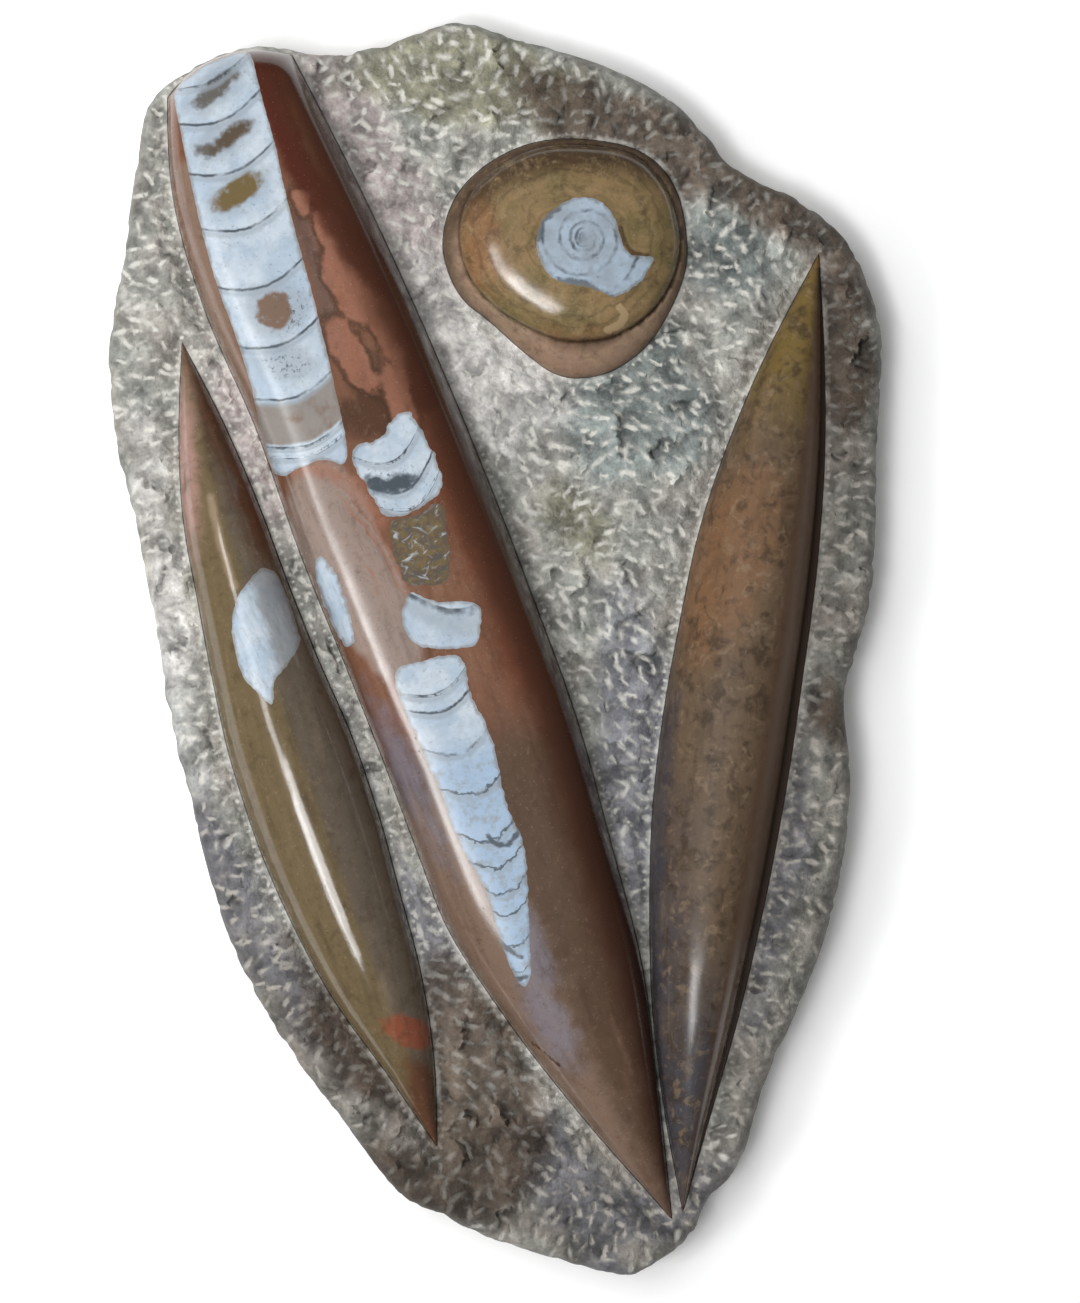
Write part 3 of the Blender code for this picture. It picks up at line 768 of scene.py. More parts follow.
def strip_fields(strips):
    """A field for each strip's half width and path."""
    return {name: (lambda plane, w=half_width, p=path: strip(plane, p, w))
            for name, (half_width, path) in strips.items()}


def past(shape, station):
    """Distance along a cone past a station on its axis."""
    return lambda plane: shape.local(plane)[0] - station


def beyond(shape, share):
    """Distance past a line that lies at a share of the half width, right of the middle."""
    def field(plane):
        _, across, half = shape.ratio(plane)
        return (across - share) * half
    return field


# ---------------------------------------------------------------------------------------------
# The pecked ground
# ---------------------------------------------------------------------------------------------

STROKE_SQUARENESS = 2.4  # power that gives a stroke its blunt ends
STROKE_LEAN = 0.45       # how much deeper a stroke is where the tool stopped
# The crumbled lip round a stroke: height as a share of its depth, place, width and lean
BURR_HEIGHT, BURR_PLACE, BURR_WIDTH, BURR_LEAN = 0.28, 1.22, 0.2, 0.6
STROKE_CLEARANCE = 2.2   # least distance from a stroke to a fossil, in millimetres
RIM_CLEARANCE = 3.0      # and to the rim
BESIDE_RIM = (18, 34)    # how far in strokes lie square to the rim
SWATHE = (70.0, 1.9, -0.6)         # size, swing and mean turn of the swathes of strokes
UNSTEADY = 0.42          # spread of the turns of single strokes, in radians


class Strokes:
    """Chisel strokes: each one a short gouge, deepest where the tool stopped."""

    def __init__(self, centres, turns, half_lengths, half_widths, depths, tones):
        self.centres, self.turns = centres, turns
        self.half_lengths, self.half_widths = half_lengths, half_widths
        self.depths, self.tones = depths, tones

    def mesh_points(self, rings, sides):
        """Points in the middle of each stroke and on rings around it."""
        turn = np.arange(sides) * 2 * math.pi / sides
        shapes = [np.zeros((1, 2))]
        for ring in rings:
            shapes.append(ring * np.stack([np.cos(turn), np.sin(turn)], axis=1))
        shape = np.vstack(shapes)
        along = shape[None, :, 0] * self.half_lengths[:, None]
        across = shape[None, :, 1] * self.half_widths[:, None]
        cos, sin = np.cos(self.turns)[:, None], np.sin(self.turns)[:, None]
        x = self.centres[:, None, 0] + along * cos - across * sin
        y = self.centres[:, None, 1] + along * sin + across * cos
        return np.stack([x.ravel(), y.ravel()], axis=1)

    def cut(self, points, tree, depth, bruise):
        """Deepens depth and raises bruise at the points that the strokes reach."""
        for k, (x, y) in enumerate(self.centres.tolist()):
            reach = 1.6 * self.half_lengths[k]
            found = [index for _, index, _ in tree.find_range((x, y, 0), reach)]
            if not found:
                continue
            offset = points[found] - (x, y)
            cos, sin = math.cos(self.turns[k]), math.sin(self.turns[k])
            along = offset @ (cos, sin) / self.half_lengths[k]
            across = offset @ (-sin, cos) / self.half_widths[k]
            ring = (np.abs(along) ** STROKE_SQUARENESS + np.abs(across) ** 2) ** 0.5
            gouge = np.clip(1 - ring ** 2, 0, 1) * (1 + STROKE_LEAN * along)
            burr = np.exp(-((ring - BURR_PLACE) / BURR_WIDTH) ** 2)
            burr = BURR_HEIGHT * burr * (1 + BURR_LEAN * along)
            depth[found] = np.where(gouge > 0, np.maximum(depth[found], self.depths[k] * gouge),
                                    depth[found] - self.depths[k] * burr)
            bruise[found] = np.maximum(bruise[found], (1 - ring) * self.tones[k])


def scatter_strokes(random, outline, holes, spacing, lengths, widths, depths, brightest):
    """Strokes on a shaken grid, square to the rim beside it and in drifting swathes inside."""
    centres = grid_over(outline, spacing, random, jitter=0.33)
    centres = keep_inside(centres, outline, holes, STROKE_CLEARANCE)
    to_rim = distance_to(centres, outline)
    centres, to_rim = centres[to_rim > RIM_CLEARANCE], to_rim[to_rim > RIM_CLEARANCE]
    count = len(centres)
    nearest = np.array([outline[np.argmin(((outline - c) ** 2).sum(1))] for c in centres])
    square_on = np.arctan2(*(centres - nearest).T[::-1])
    size, swing, mean = SWATHE
    swathe = swing * fractal(centres, size, 2, 4.0) + mean
    beside_rim = to_rim < random.uniform(*BESIDE_RIM, count)
    turns = np.where(beside_rim, square_on, swathe) + random.normal(0, UNSTEADY, count)
    return Strokes(centres, turns, random.uniform(*lengths, count) / 2,
                   random.uniform(*widths, count) / 2, random.uniform(*depths, count),
                   brightest * random.uniform(0.3, 1.0, count))


def hug_edges(random, holes, outline):
    """Short pecks side by side along the foot of every fossil."""
    centres, turns = [], []
    for hole in holes:
        ring = even_loop(hole, 3.6)
        out = outward(ring)
        centres.append(ring + out * random.uniform(1.4, 2.6, (len(ring), 1)))
        turns.append(np.arctan2(out[:, 1], out[:, 0]) + random.normal(0, 0.5, len(ring)))
    centres, turns = np.vstack(centres), np.concatenate(turns)
    kept = np.isin(np.arange(len(centres)), clear_of(centres, outline, holes, 1.1))
    centres, turns = centres[kept], turns[kept]
    count = len(centres)
    return Strokes(centres, turns, random.uniform(1.3, 2.6, count),
                   random.uniform(0.8, 1.2, count), random.uniform(0.3, 0.6, count),
                   random.uniform(0.4, 1.0, count))


def clear_of(points, outline, holes, clearance):
    """Indices of the points that keep_inside would keep."""
    kept = {tuple(p) for p in keep_inside(points, outline, holes, clearance).tolist()}
    return [k for k, p in enumerate(points.tolist()) if tuple(p) in kept]


def facets(random, outline, points, spacing, tilt, step):
    """Broken faces: each cell of the ground lies at its own slant; also a tone for each cell."""
    cells = grid_over(outline, spacing, random, jitter=0.4)
    tree = search_tree(cells)
    warp = spacing * 0.22
    shifted = points + warp * np.stack([fractal(points, spacing * 0.7, 2, 11.0),
                                        fractal(points, spacing * 0.7, 2, 12.0)], axis=1)
    nearest = np.array([tree.find((x, y, 0))[1] for x, y in shifted.tolist()])
    slants = random.normal(0, tilt, (len(cells), 2))
    offsets = random.uniform(-step, step, len(cells))
    tones = random.uniform(0, 1, len(cells))
    away = points - cells[nearest]
    return (away * slants[nearest]).sum(axis=1) + offsets[nearest], tones[nearest]


# Lumps and hollows that the point chisel left: height, size and seed
RELIEF = ((0.9, 24.0, 1.0), (1.15, 8.0, 2.0), (0.5, 2.8, 3.0))
GROUND_WAVE = 1.3        # height of the long swell of the ground
FOOT_DIP = 0.5           # how far the ground lies below a fossil's foot
LUMP_REACH = 5.0         # distance from a fossil over which the lumps rise
RIM_POWER = 2.4          # roundness of the rim's shoulder


def ground_relief(points):
    return sum(height * fractal(points, size, 2, seed) for height, size, seed in RELIEF)


def ground_height(points, to_rim, to_fossil, relief):
    """The ground before it is pecked: waved, lower by each fossil and rounded at the rim."""
    x, y = points[:, 0], points[:, 1]
    wave = 0.5 * np.sin(x / 31 + 1.1) * np.cos(y / 43) + 0.5 * np.sin((x + y) / 57)
    height = GROUND + GROUND_WAVE * wave - RIM_SLOPE_DROP * (1 - ease(to_rim / RIM_SLOPE_REACH))
    foot = FOOT - FOOT_DIP
    height = foot + (height - foot) * ease(to_fossil / MOAT_REACH)
    height = height + relief * ease(to_fossil / LUMP_REACH)
    reach = RIM_REACH * (1 + 0.45 * fractal(points, 14.0, 2, 5.0))
    near_rim = 1 - np.clip(to_rim / reach, 0, 1)
    return WAIST + (height - WAIST) * (1 - near_rim ** RIM_POWER) ** 0.5


def socket_loops():
    """The slab's hole round each fossil."""
    outlines = [SHAPES[name].outline(EDGE_STEP) for name in FOSSIL_NAMES]
    return [loop + SOCKET_GAP * outward(loop) for loop in outlines]


COARSE_STEP = 3.0        # spacing of the points of a hole where only its distance counts
RIM_INSETS = (0.2, 0.7, 1.5, 2.6, 4.0)       # rows of points along the rim
GRID_STEP = 1.7          # spacing of the points between the strokes
FACET_SIZE, FACET_TILT, FACET_STEP = 15.0, 0.11, 0.55        # broken faces of the ground
ROUGH_SIDE = 1.6         # how far the rough sides swell


def make_ground(settings):
    """The slab's rings, top points, heights and fields, with every stroke cut in."""
    random = np.random.default_rng(settings.seed)
    coarse, sawn = waist_loop("matrix_slab"), underside_loop("matrix_slab")
    sawn = np.roll(sawn, -int(np.argmin(((sawn - coarse[0]) ** 2).sum(1))), axis=0)
    waist, sawn = spline_loop(coarse, RIM_POINTS), spline_loop(sawn, RIM_POINTS)
    inward = sawn - waist
    inward = inward / np.linalg.norm(inward, axis=1)[:, None]
    chips = np.clip(fractal(waist, 9.0, 3, 7.0) + 0.15, 0, 1) * mm(settings.chip_depth)
    rim = waist + inward * chips[:, None]
    holes = socket_loops()
    coarse_holes = [even_loop(hole, COARSE_STEP) for hole in holes]

    gouges = scatter_strokes(random, coarse, coarse_holes, mm(settings.stroke_spacing),
                             (6.0, mm(settings.stroke_length)), (1.9, mm(settings.stroke_width)),
                             (0.6, mm(settings.stroke_depth)), 1.25)
    pits = scatter_strokes(random, coarse, coarse_holes, mm(settings.pit_spacing), (1.8, 3.6),
                           (1.3, 2.2), (0.35, 0.8), 0.2)
    hugging = hug_edges(random, coarse_holes, coarse)

    rings = [rim + inward * inset for inset in RIM_INSETS]
    loose = np.vstack([gouges.mesh_points((0.55, 1.05), 8), hugging.mesh_points((1.0,), 6),
                       pits.mesh_points((1.0,), 5), grid_over(waist, GRID_STEP, random)])
    loose = keep_inside(loose, rim, coarse_holes, 0.9)
    loose = loose[distance_to(loose, coarse) > 0.6]
    inner = np.vstack(rings + [thin_out(loose, mm(settings.mesh_step))])
    inner = thin_out(inner, 0.2)
    inner = keep_inside(inner, rim, holes, 0.15)

    points = np.vstack([rim] + holes + [inner])
    to_rim = distance_to(points, even_loop(rim, 2.4))
    to_rim[:len(rim)] = 0
    to_fossil = np.min([distance_to(points, hole) for hole in coarse_holes], axis=0)
    to_fossil[len(rim):len(rim) + sum(map(len, holes))] = 0
    broken, tone = facets(random, coarse, points, FACET_SIZE, FACET_TILT, FACET_STEP)
    relief = ground_relief(points) + broken * ease(to_rim / 6)
    height = ground_height(points, to_rim, to_fossil, relief)
    depth, bruise = np.zeros(len(points)), np.full(len(points), -1.0)
    tree = search_tree(points)
    for strokes in (pits, gouges, hugging):
        strokes.cut(points, tree, depth, bruise)
    height = height - depth * ease(to_fossil / 1.2) * ease(to_rim / 3.0)

    skirt = []
    for share, level in SKIRT_RINGS:
        ring = rim + (sawn - rim) * share
        rough = np.clip(0.5 + fractal(ring + (level * 3, 0), 7.0, 3, 9.0), 0, 1.4)
        swell = ROUGH_SIDE * math.sin(math.pi * share) * rough
        skirt.append((ring + inward * swell[:, None], level))
    skirt[-1] = (sawn, 0.0)
    # lump carries the ground's relief to its finish, which paints shade into the hollows and
    # light onto the lumps
    fields = {"bruise": bruise, "to_fossil": to_fossil, "tone": tone, "lump": relief - depth,
              **zone_fields(GROUND_ZONES)}
    return rim, holes, inner, height, skirt, fields


def make_slab(settings):
    rim, holes, inner, height, skirt, fields = make_ground(settings)
    pockets = [(hole, SOCKET_FLOOR) for hole in holes]
    piece = carve("limestone_ground", rim, height, skirt, pockets, inner, fields, sharp=65.0)
    return seat(piece, "matrix_slab", pecked_limestone(settings))


# ---------------------------------------------------------------------------------------------
# Finishes
# ---------------------------------------------------------------------------------------------

def linear(hex_code):
    """An sRGB hex colour as linear red, green and blue."""
    channels = [int(hex_code[k:k + 2], 16) / 255 for k in (1, 3, 5)]
    return tuple(c / 12.92 if c <= 0.04045 else ((c + 0.055) / 1.055) ** 2.4 for c in channels)


def put(tree, kind, sockets=None, out=0, **settings):
    """Adds a node with its settings, values and links, and gives back one of its outputs."""
    made = tree.nodes.new("ShaderNode" + kind)
    for key, value in settings.items():
        setattr(made, key, value)
    for key, value in (sockets or {}).items():
        if isinstance(value, bpy.types.NodeSocket):
            tree.links.new(value, made.inputs[key])
        elif made.inputs[key].type == "RGBA":
            made.inputs[key].default_value = (*value, 1.0)
        else:
            made.inputs[key].default_value = value
    return None if out is None else made.outputs[out]


def new_stone(name):
    """A blank material, its node tree and the place on the stone in millimetres."""
    material = bpy.data.materials.new(name)
    material.use_nodes = True
    tree = material.node_tree
    tree.nodes.clear()
    place = put(tree, "TexCoord", out="Object")
    return material, tree, put(tree, "VectorMath", {0: place, "Scale": 1 / MM},
                               operation="SCALE")


def cloudy(tree, where, size, low, high, seed=0.0, detail=3.0, rough=0.55, swirl=0.0):
    """A mask of soft blotches of a size in millimetres: 0 below low, 1 above high."""
    cloud = put(tree, "TexNoise", {"Vector": where, "W": seed, "Scale": 1 / size,
                                   "Detail": detail, "Roughness": rough, "Distortion": swirl},
                noise_dimensions="4D")
    return put(tree, "MapRange", {"Value": cloud, "From Min": low, "From Max": high},
               interpolation_type="SMOOTHSTEP")


def zone(tree, name, where, ragged=2.0, size=6.0, soft=0.5, seed=0.0, shift=0.0):
    """A mask inside a painted zone, its edge made ragged by noise, all in millimetres."""
    field = put(tree, "Attribute", out="Fac", attribute_name=name)
    cloud = put(tree, "TexNoise", {"Vector": where, "W": seed, "Scale": 1 / size, "Detail": 3.0},
                noise_dimensions="4D")
    uneven = put(tree, "Math", {0: cloud, 1: 4 * ragged, 2: -2 * ragged - shift},
                 operation="MULTIPLY_ADD")
    edge = put(tree, "Math", {0: field, 1: uneven}, operation="ADD")
    return put(tree, "MapRange", {"Value": edge, "From Min": -soft, "From Max": soft},
               interpolation_type="SMOOTHSTEP")


def lay(tree, below, colour, mask, strength=1.0):
    """Lays a colour over another through a mask; strength may be a second mask."""
    if strength != 1.0:
        mask = put(tree, "Math", {0: mask, 1: strength}, operation="MULTIPLY")
    return put(tree, "Mix", {0: mask, 6: below, 7: colour}, out=2, data_type="RGBA")


def lay_zones(tree, where, colour, settings, *layers):
    """Lays hues in zones: hue, zone, strength, ragged, size, soft and seed of each."""
    for hue_name, name, strength, *edge in layers:
        mask = zone(tree, name, where, *edge)
        colour = lay(tree, colour, getattr(settings, hue_name), mask, strength)
    return colour


def lay_clouds(tree, where, colour, settings, *layers):
    """Lays hues in blotches: hue, strength, size, low, high, seed, detail, rough and swirl."""
    for hue_name, strength, *cloud in layers:
        colour = lay(tree, colour, getattr(settings, hue_name), cloudy(tree, where, *cloud),
                     strength)
    return colour


def dress(tree, colour, roughness, relief, ior, depth=1.0, level=0.5):
    """Ends a material; relief is a height in millimetres, times depth; level is the gloss's."""
    normal = put(tree, "Bump", {"Height": relief, "Distance": depth * MM}, out="Normal")
    shader = put(tree, "BsdfPrincipled", {"Base Color": colour, "Roughness": roughness,
                                          "IOR": ior, "Specular IOR Level": level,
                                          "Normal": normal})
    put(tree, "OutputMaterial", {"Surface": shader}, out=None)


def pecked_limestone(settings):
    """Marly limestone pecked with a point chisel.

    The bruised strokes scatter light and look chalky; the broken stone between them is dull. The
    hollows are painted darker, as painted shade, and the lumps paler, as painted light.
    """
    material, tree, where = new_stone("marly limestone, pecked")
    colour = lay(tree, settings.ground, settings.ground_warm,
                 cloudy(tree, where, 26, 0.35, 0.68, 1.0))
    # chalky is partly painted light, which lifts the shade beside the central cone
    for name in ("mauve", "olive", "violet_tint_and_sheen", "slate", "chalky", "umber"):
        stain = zone(tree, name, where, 6.0, 22.0, 6.0, seed=3.0)
        colour = lay(tree, colour, getattr(settings, name), stain, 0.9)
    tone = put(tree, "Attribute", out="Fac", attribute_name="tone")
    lump = put(tree, "Attribute", out="Fac", attribute_name="lump")
    patchy = put(tree, "TexNoise", {"Vector": where, "W": 6.0, "Scale": 1 / 9, "Detail": 3.0},
                 noise_dimensions="4D")
    grain = put(tree, "TexNoise", {"Vector": where, "W": 7.0, "Scale": 1 / 2.8, "Detail": 5.0,
                                   "Roughness": 0.65}, noise_dimensions="4D")
    # The first factor is painted shade and light: darker in the hollows, paler on the lumps. The
    # others vary the stone's tone at random.
    light = 1.0
    for value, low, high, dark, pale in ((lump, -1.8, 1.4, 0.45, 1.3), (tone, 0, 1, 1.1, 0.82),
                                         (patchy, 0.3, 0.7, 0.68, 1.3),
                                         (grain, 0.3, 0.7, 0.66, 1.32)):
        factor = put(tree, "MapRange", {"Value": value, "From Min": low, "From Max": high,
                                        "To Min": dark, "To Max": pale})
        light = put(tree, "Math", {0: light, 1: factor}, operation="MULTIPLY")
    colour = put(tree, "VectorMath", {0: colour, "Scale": light}, operation="SCALE")
    field = put(tree, "Attribute", out="Fac", attribute_name="bruise")
    cloud = put(tree, "TexNoise", {"Vector": where, "Scale": 1 / 3.0, "Detail": 3.0})
    edge = put(tree, "Math", {0: cloud, 1: 0.7, 2: field}, operation="MULTIPLY_ADD")
    bruised = put(tree, "MapRange", {"Value": edge, "From Min": 0.22, "From Max": 1.05},
                  interpolation_type="SMOOTHSTEP")
    # The last stain is the umber, where the strokes have weathered
    weathered = put(tree, "MapRange", {"Value": stain, "To Min": 1.0, "To Max": 0.35})
    crushed = lay(tree, colour, settings.bruise, 0.66)
    colour = lay(tree, colour, crushed, bruised, weathered)
    reach = put(tree, "Attribute", out="Fac", attribute_name="to_fossil")
    hem = put(tree, "MapRange", {"Value": reach, "From Min": 2.4, "From Max": 0.3})
    colour = lay(tree, colour, crushed, hem, cloudy(tree, where, 6.0, 0.36, 0.66, 10.0))
    # Painted shade over the right and lower edges, where the light falls off
    falloff_shade_tint = zone(tree, "painted_falloff_shade", where, 10.0, 30.0, 12.0, seed=12.0)
    colour = put(tree, "Mix", {0: falloff_shade_tint, 6: colour, 7: settings.falloff_shade_tint}, out=2,
                 data_type="RGBA", blend_type="MULTIPLY")
    relief = put(tree, "TexNoise", {"Vector": where, "Scale": 1 / 1.5, "Detail": 4.0,
                                    "Roughness": 0.62})
    roughness = put(tree, "MapRange", {"Value": relief, "To Min": 0.62, "To Max": 0.9})
    dress(tree, colour, roughness, relief, 1.5, depth=0.8)
    return material


STREAK_STRETCH = 6.5     # length of a streak to its width


def streaked(tree, where, colour, settings, turn, seed):
    """Lime mud turned to stone: drawn out along the shell, clouded and flecked."""
    grain = put(tree, "Mapping", {"Vector": where, "Rotation": (0, 0, math.radians(turn)),
                                  "Scale": (STREAK_STRETCH, 1, 1)}, vector_type="TEXTURE")
    colour = lay_clouds(tree, grain, colour, settings,
                        ("umber", 0.62, 7, 0.47, 0.8, seed, 7, 0.62),
                        ("tan", 0.45, 10, 0.52, 0.82, seed + 1, 7, 0.62))
    return lay_clouds(tree, where, colour, settings,
                      ("umber", 0.5, 4.5, 0.48, 0.8, seed + 2, 6, 0.72),
                      ("tan", 0.38, 2.6, 0.52, 0.8, seed + 3, 5, 0.7),
                      ("umber", 0.35, 1.3, 0.58, 0.76, seed + 4))


PLAIN_LEVEL, DULL_LEVEL = 0.5, 0.15          # specular levels of fresh and of worn polish
DULL_ROUGHNESS, PIT_ROUGHNESS = 0.42, 0.45


def polish(tree, where, colour, roughness, ior=1.56, dull=None):
    """Hand polish: a close gloss with dull pits and the faintest ripple; dull is a mask."""
    pits = cloudy(tree, where, 1.4, 0.62, 0.74, 21.0, detail=2.0)
    gloss = put(tree, "MapRange", {"Value": pits, "To Min": roughness,
                                   "To Max": PIT_ROUGHNESS})
    level = PLAIN_LEVEL
    if dull is not None:
        satin = put(tree, "Math", {0: dull, 1: DULL_ROUGHNESS}, operation="MULTIPLY")
        gloss = put(tree, "Math", {0: gloss, 1: satin}, operation="MAXIMUM")
        level = put(tree, "MapRange", {"Value": dull, "To Min": PLAIN_LEVEL,
                                       "To Max": DULL_LEVEL})
    ripple = put(tree, "TexNoise", {"Vector": where, "Scale": 1 / 5.0, "Detail": 3.0})
    dress(tree, colour, gloss, ripple, ior, depth=0.035, level=level)


def center_stone(settings):
    """Red-brown limestone, ground round and polished.

    A soft gloss over streaks of rust, salmon and grey that run along the shell.
    """
    material, tree, where = new_stone("red-brown limestone, polished")
    colour = lay(tree, settings.brown, settings.olive,
                 zone(tree, "lower", where, 8.0, 20.0, 20.0))
    colour = lay_zones(tree, where, colour, settings,
                       ("flank", "flank", 0.85, 2.0, 8.0, 2.5, 5),
                       ("rust", "rust", 0.6, 3.0, 8.0, 6.0, 4),
                       ("deep_red", "deep_red", 0.9, 2.0, 8.0, 2.5, 8),
                       ("grey_rim", "grey_rim", 0.6, 1.5, 8.0, 3.5, 8),
                       ("grey_rim", "grey_brown", 0.7, 1.5, 8.0, 1.5, 10),
                       ("umber", "olive_dark", 0.75, 2.0, 8.0, 3.0, 10),
                       ("salmon", "salmon", 0.75, 2.2, 8.0, 1.2, 6),
                       # The window zone is partly the stone's pale beige, partly painted sheen,
                       # the soft reflection on the broad flank
                       ("window", "window", 0.92, 1.2, 8.0, 2.0, 6),
                       ("salmon", "window_salmon", 0.7, 2.0, 8.0, 3.0, 13),
                       ("flank", "left_half", 0.8, 4.0, 8.0, 9.0, 9),
                       # Painted sheen: a violet-grey reflection on the crown beside the lower
                       # shell
                       ("violet_tint_and_sheen", "violet_tint_and_sheen", 0.7, 2.5, 8.0, 4.0, 6))
    outline, inside = (zone(tree, "salmon", where, 2.2, 8.0, 1.0, seed=6, shift=shift)
                       for shift in (-1.6, 0.4))
    rim = put(tree, "Math", {0: outline, 1: inside}, operation="SUBTRACT")
    colour = lay(tree, colour, settings.umber, rim, 0.65)
    swirl = put(tree, "Attribute", out="Fac", attribute_name="swirl")
    cloud = put(tree, "TexNoise", {"Vector": where, "Scale": 1 / 14, "Detail": 2.0})
    rings = put(tree, "Math", {0: cloud, 1: 7.0, 2: swirl}, operation="MULTIPLY_ADD")
    rings = put(tree, "TexNoise", {"W": rings, "Scale": 0.4, "Detail": 3.0},
                noise_dimensions="1D")
    rings = put(tree, "MapRange", {"Value": rings, "From Min": 0.5, "From Max": 0.7})
    colour = lay(tree, colour, settings.salmon, rings,
                 zone(tree, "whorls", where, 3.0, 8.0, 4.0))
    colour = streaked(tree, where, colour, settings, -69.6, 1.0)
    colour = lay_zones(tree, where, colour, settings,
                       ("deep_red", "deep_red", 0.85, 2.0, 8.0, 3.0),
                       # Partly the stone's darker colour, partly painted shade along the right
                       # flank, which faces away from the light
                       ("far_side_stone_and_shade", "far_side_stone_and_shade", 0.9, 2.0, 12.0, 8.0, 7.0),
                       ("umber", "crack", 0.9, 0.4, 2.0, 0.3))
    polish(tree, where, colour, settings.polish)
    return material


def left_stone(settings):
    """Brown limestone with rusty tips, ground to a low ridge and polished."""
    material, tree, where = new_stone("brown limestone, polished")
    colour = lay(tree, settings.brown, settings.olive,
                 zone(tree, "right_face", where, 0.6, 8.0, 2.5))
    colour = lay_zones(tree, where, colour, settings,
                       ("rust", "tips", 0.85, 4.0, 14.0, 6.0),
                       ("pink", "pink", 0.85, 2.0, 12.0, 5.0),
                       ("rust", "russet", 0.85, 2.0, 8.0, 3.0),
                       ("orange", "orange", 0.85, 1.5, 5.0, 1.6))
    colour = lay_clouds(tree, where, colour, settings,
                        ("umber", 0.4, 8.0, 0.5, 0.72, 33.0, 5, 0.55, 0.8))
    colour = streaked(tree, where, colour, settings, -72.4, 11.0)
    # Painted highlight: a pale streak by the crest of the upper half
    colour = lay_zones(tree, where, colour, settings, ("tan", "streak", 0.8, 0.6, 6.0, 1.4))
    polish(tree, where, colour, settings.polish)
    return material


def right_stone(settings):
    """Olive and brown limestone, mottled where burrows crossed it, polished."""
    material, tree, where = new_stone("olive limestone, polished")
    colour = lay(tree, settings.brown, settings.olive, zone(tree, "olive", where, 6, 18, 12))
    colour = lay_zones(tree, where, colour, settings,
                       # The violet zone is painted reflection, the bluish-grey haze over the
                       # lower half
                       ("rust", "rust", 0.75, 5, 16, 8), ("violet_tint_and_sheen", "violet_tint_and_sheen", 0.85, 8, 20, 14))
    colour = lay_clouds(tree, where, colour, settings,
                        ("umber", 0.7, 8.0, 0.46, 0.66, 31.0, 5, 0.55, 0.8),
                        ("tan", 0.5, 5.0, 0.52, 0.7, 32.0, 4, 0.55, 0.8))
    colour = lay_zones(tree, where, colour, settings,
                       # Painted reflection: a bluish strip along the lower left edge
                       ("violet_tint_and_sheen", "painted_edge_reflection", 0.6, 1.2, 9.0, 3.0))
    colour = streaked(tree, where, colour, settings, -98.1, 23.0)
    colour = lay_zones(tree, where, colour, settings,
                       # Partly the stone's darker colour, partly painted shade on the right face,
                       # which faces away from the light
                       ("far_side_stone_and_shade", "far_side_stone_and_shade", 0.8, 0.8, 9, 3.0),
                       # Painted shade: the groove along the right edge is painted near black
                       ("groove", "groove", 0.8, 0.3, 9, 0.6))
    polish(tree, where, colour, settings.polish, dull=zone(tree, "worn", where, 4, 20, 30.0))
    return material


def disc_stone(settings):
    """Honey and olive limestone with the growth arcs of the shell, polished."""
    material, tree, where = new_stone("honey limestone, polished")
    colour = lay(tree, settings.honey, settings.olive,
                 cloudy(tree, where, 20, 0.35, 0.65, 41.0))
    colour = lay_zones(tree, where, colour, settings, ("russet", "russet", 0.6, 5, 14, 6))
    arcs = put(tree, "Attribute", out="Fac", attribute_name="arc")
    cloud = put(tree, "TexNoise", {"Vector": where, "Scale": 1 / 11.0, "Detail": 2.0})
    arcs = put(tree, "Math", {0: cloud, 1: 12.0, 2: arcs}, operation="MULTIPLY_ADD")
    arcs = put(tree, "TexNoise", {"W": arcs, "Scale": 0.3, "Detail": 3.0},
               noise_dimensions="1D")
    dark = put(tree, "MapRange", {"Value": arcs, "From Min": 0.45, "From Max": 0.9})
    colour = lay(tree, colour, settings.umber, dark, 0.5)
    ring = zone(tree, "ring", where, 1.0, 10.0, 1.5)
    colour = lay(tree, colour, settings.bevel, ring, 0.7)
    colour = lay_zones(tree, where, colour, settings,
                       # Painted shade: shady darkens the boss's upper side, away from the light,
                       # and crease darkens the crease round the dome
                       ("umber", "shady", 0.85, 2.0, 10.0, 9.0),
                       ("umber", "crease", 0.75, 0.4, 6.0, 0.9),
                       ("rim", "rim", 0.75, 1.5, 10.0, 3.0))
    colour = lay_clouds(tree, where, colour, settings,
                        ("umber", 0.55, 9.0, 0.48, 0.72, 47.0, 5, 0.7, 0.6),
                        ("tan", 0.5, 7.0, 0.5, 0.75, 48.0, 5, 0.7, 0.6),
                        ("umber", 0.4, 4.0, 0.46, 0.74, 44.0, 5, 0.7, 0.6),
                        ("tan", 0.35, 3.0, 0.5, 0.75, 45.0, 5, 0.7, 0.6),
                        ("umber", 0.25, 1.4, 0.54, 0.74, 46.0, 5, 0.7, 0.6))
    colour = lay_zones(tree, where, colour, settings,
                       ("umber", "hook", 0.8, 0.5, 3, 0.6), ("tan", "comma", 0.85, 0.5, 3, 0.5))
    polish(tree, where, colour, settings.polish, dull=ring)
    return material


CALCITE_IOR = 1.58


def calcite_body(tree, where, settings, clean, thick):
    """Clear and cloudy calcite in a fine mosaic of crystals."""
    colour = lay(tree, clean, thick, cloudy(tree, where, 12, 0.34, 0.66, 51.0, detail=5))
    crystals = put(tree, "TexVoronoi", {"Vector": where, "Scale": 1 / 1.8}, out="Color")
    shade = put(tree, "MapRange", {"Value": crystals, "To Min": 0.0, "To Max": 0.3})
    colour = lay(tree, colour, settings.grey, shade)
    return lay_clouds(tree, where, colour, settings,
                      ("grey", 0.6, 5.0, 0.5, 0.76, 52.0, 6, 0.72),
                      ("wall", 0.5, 1.5, 0.6, 0.76, 53.0, 3))


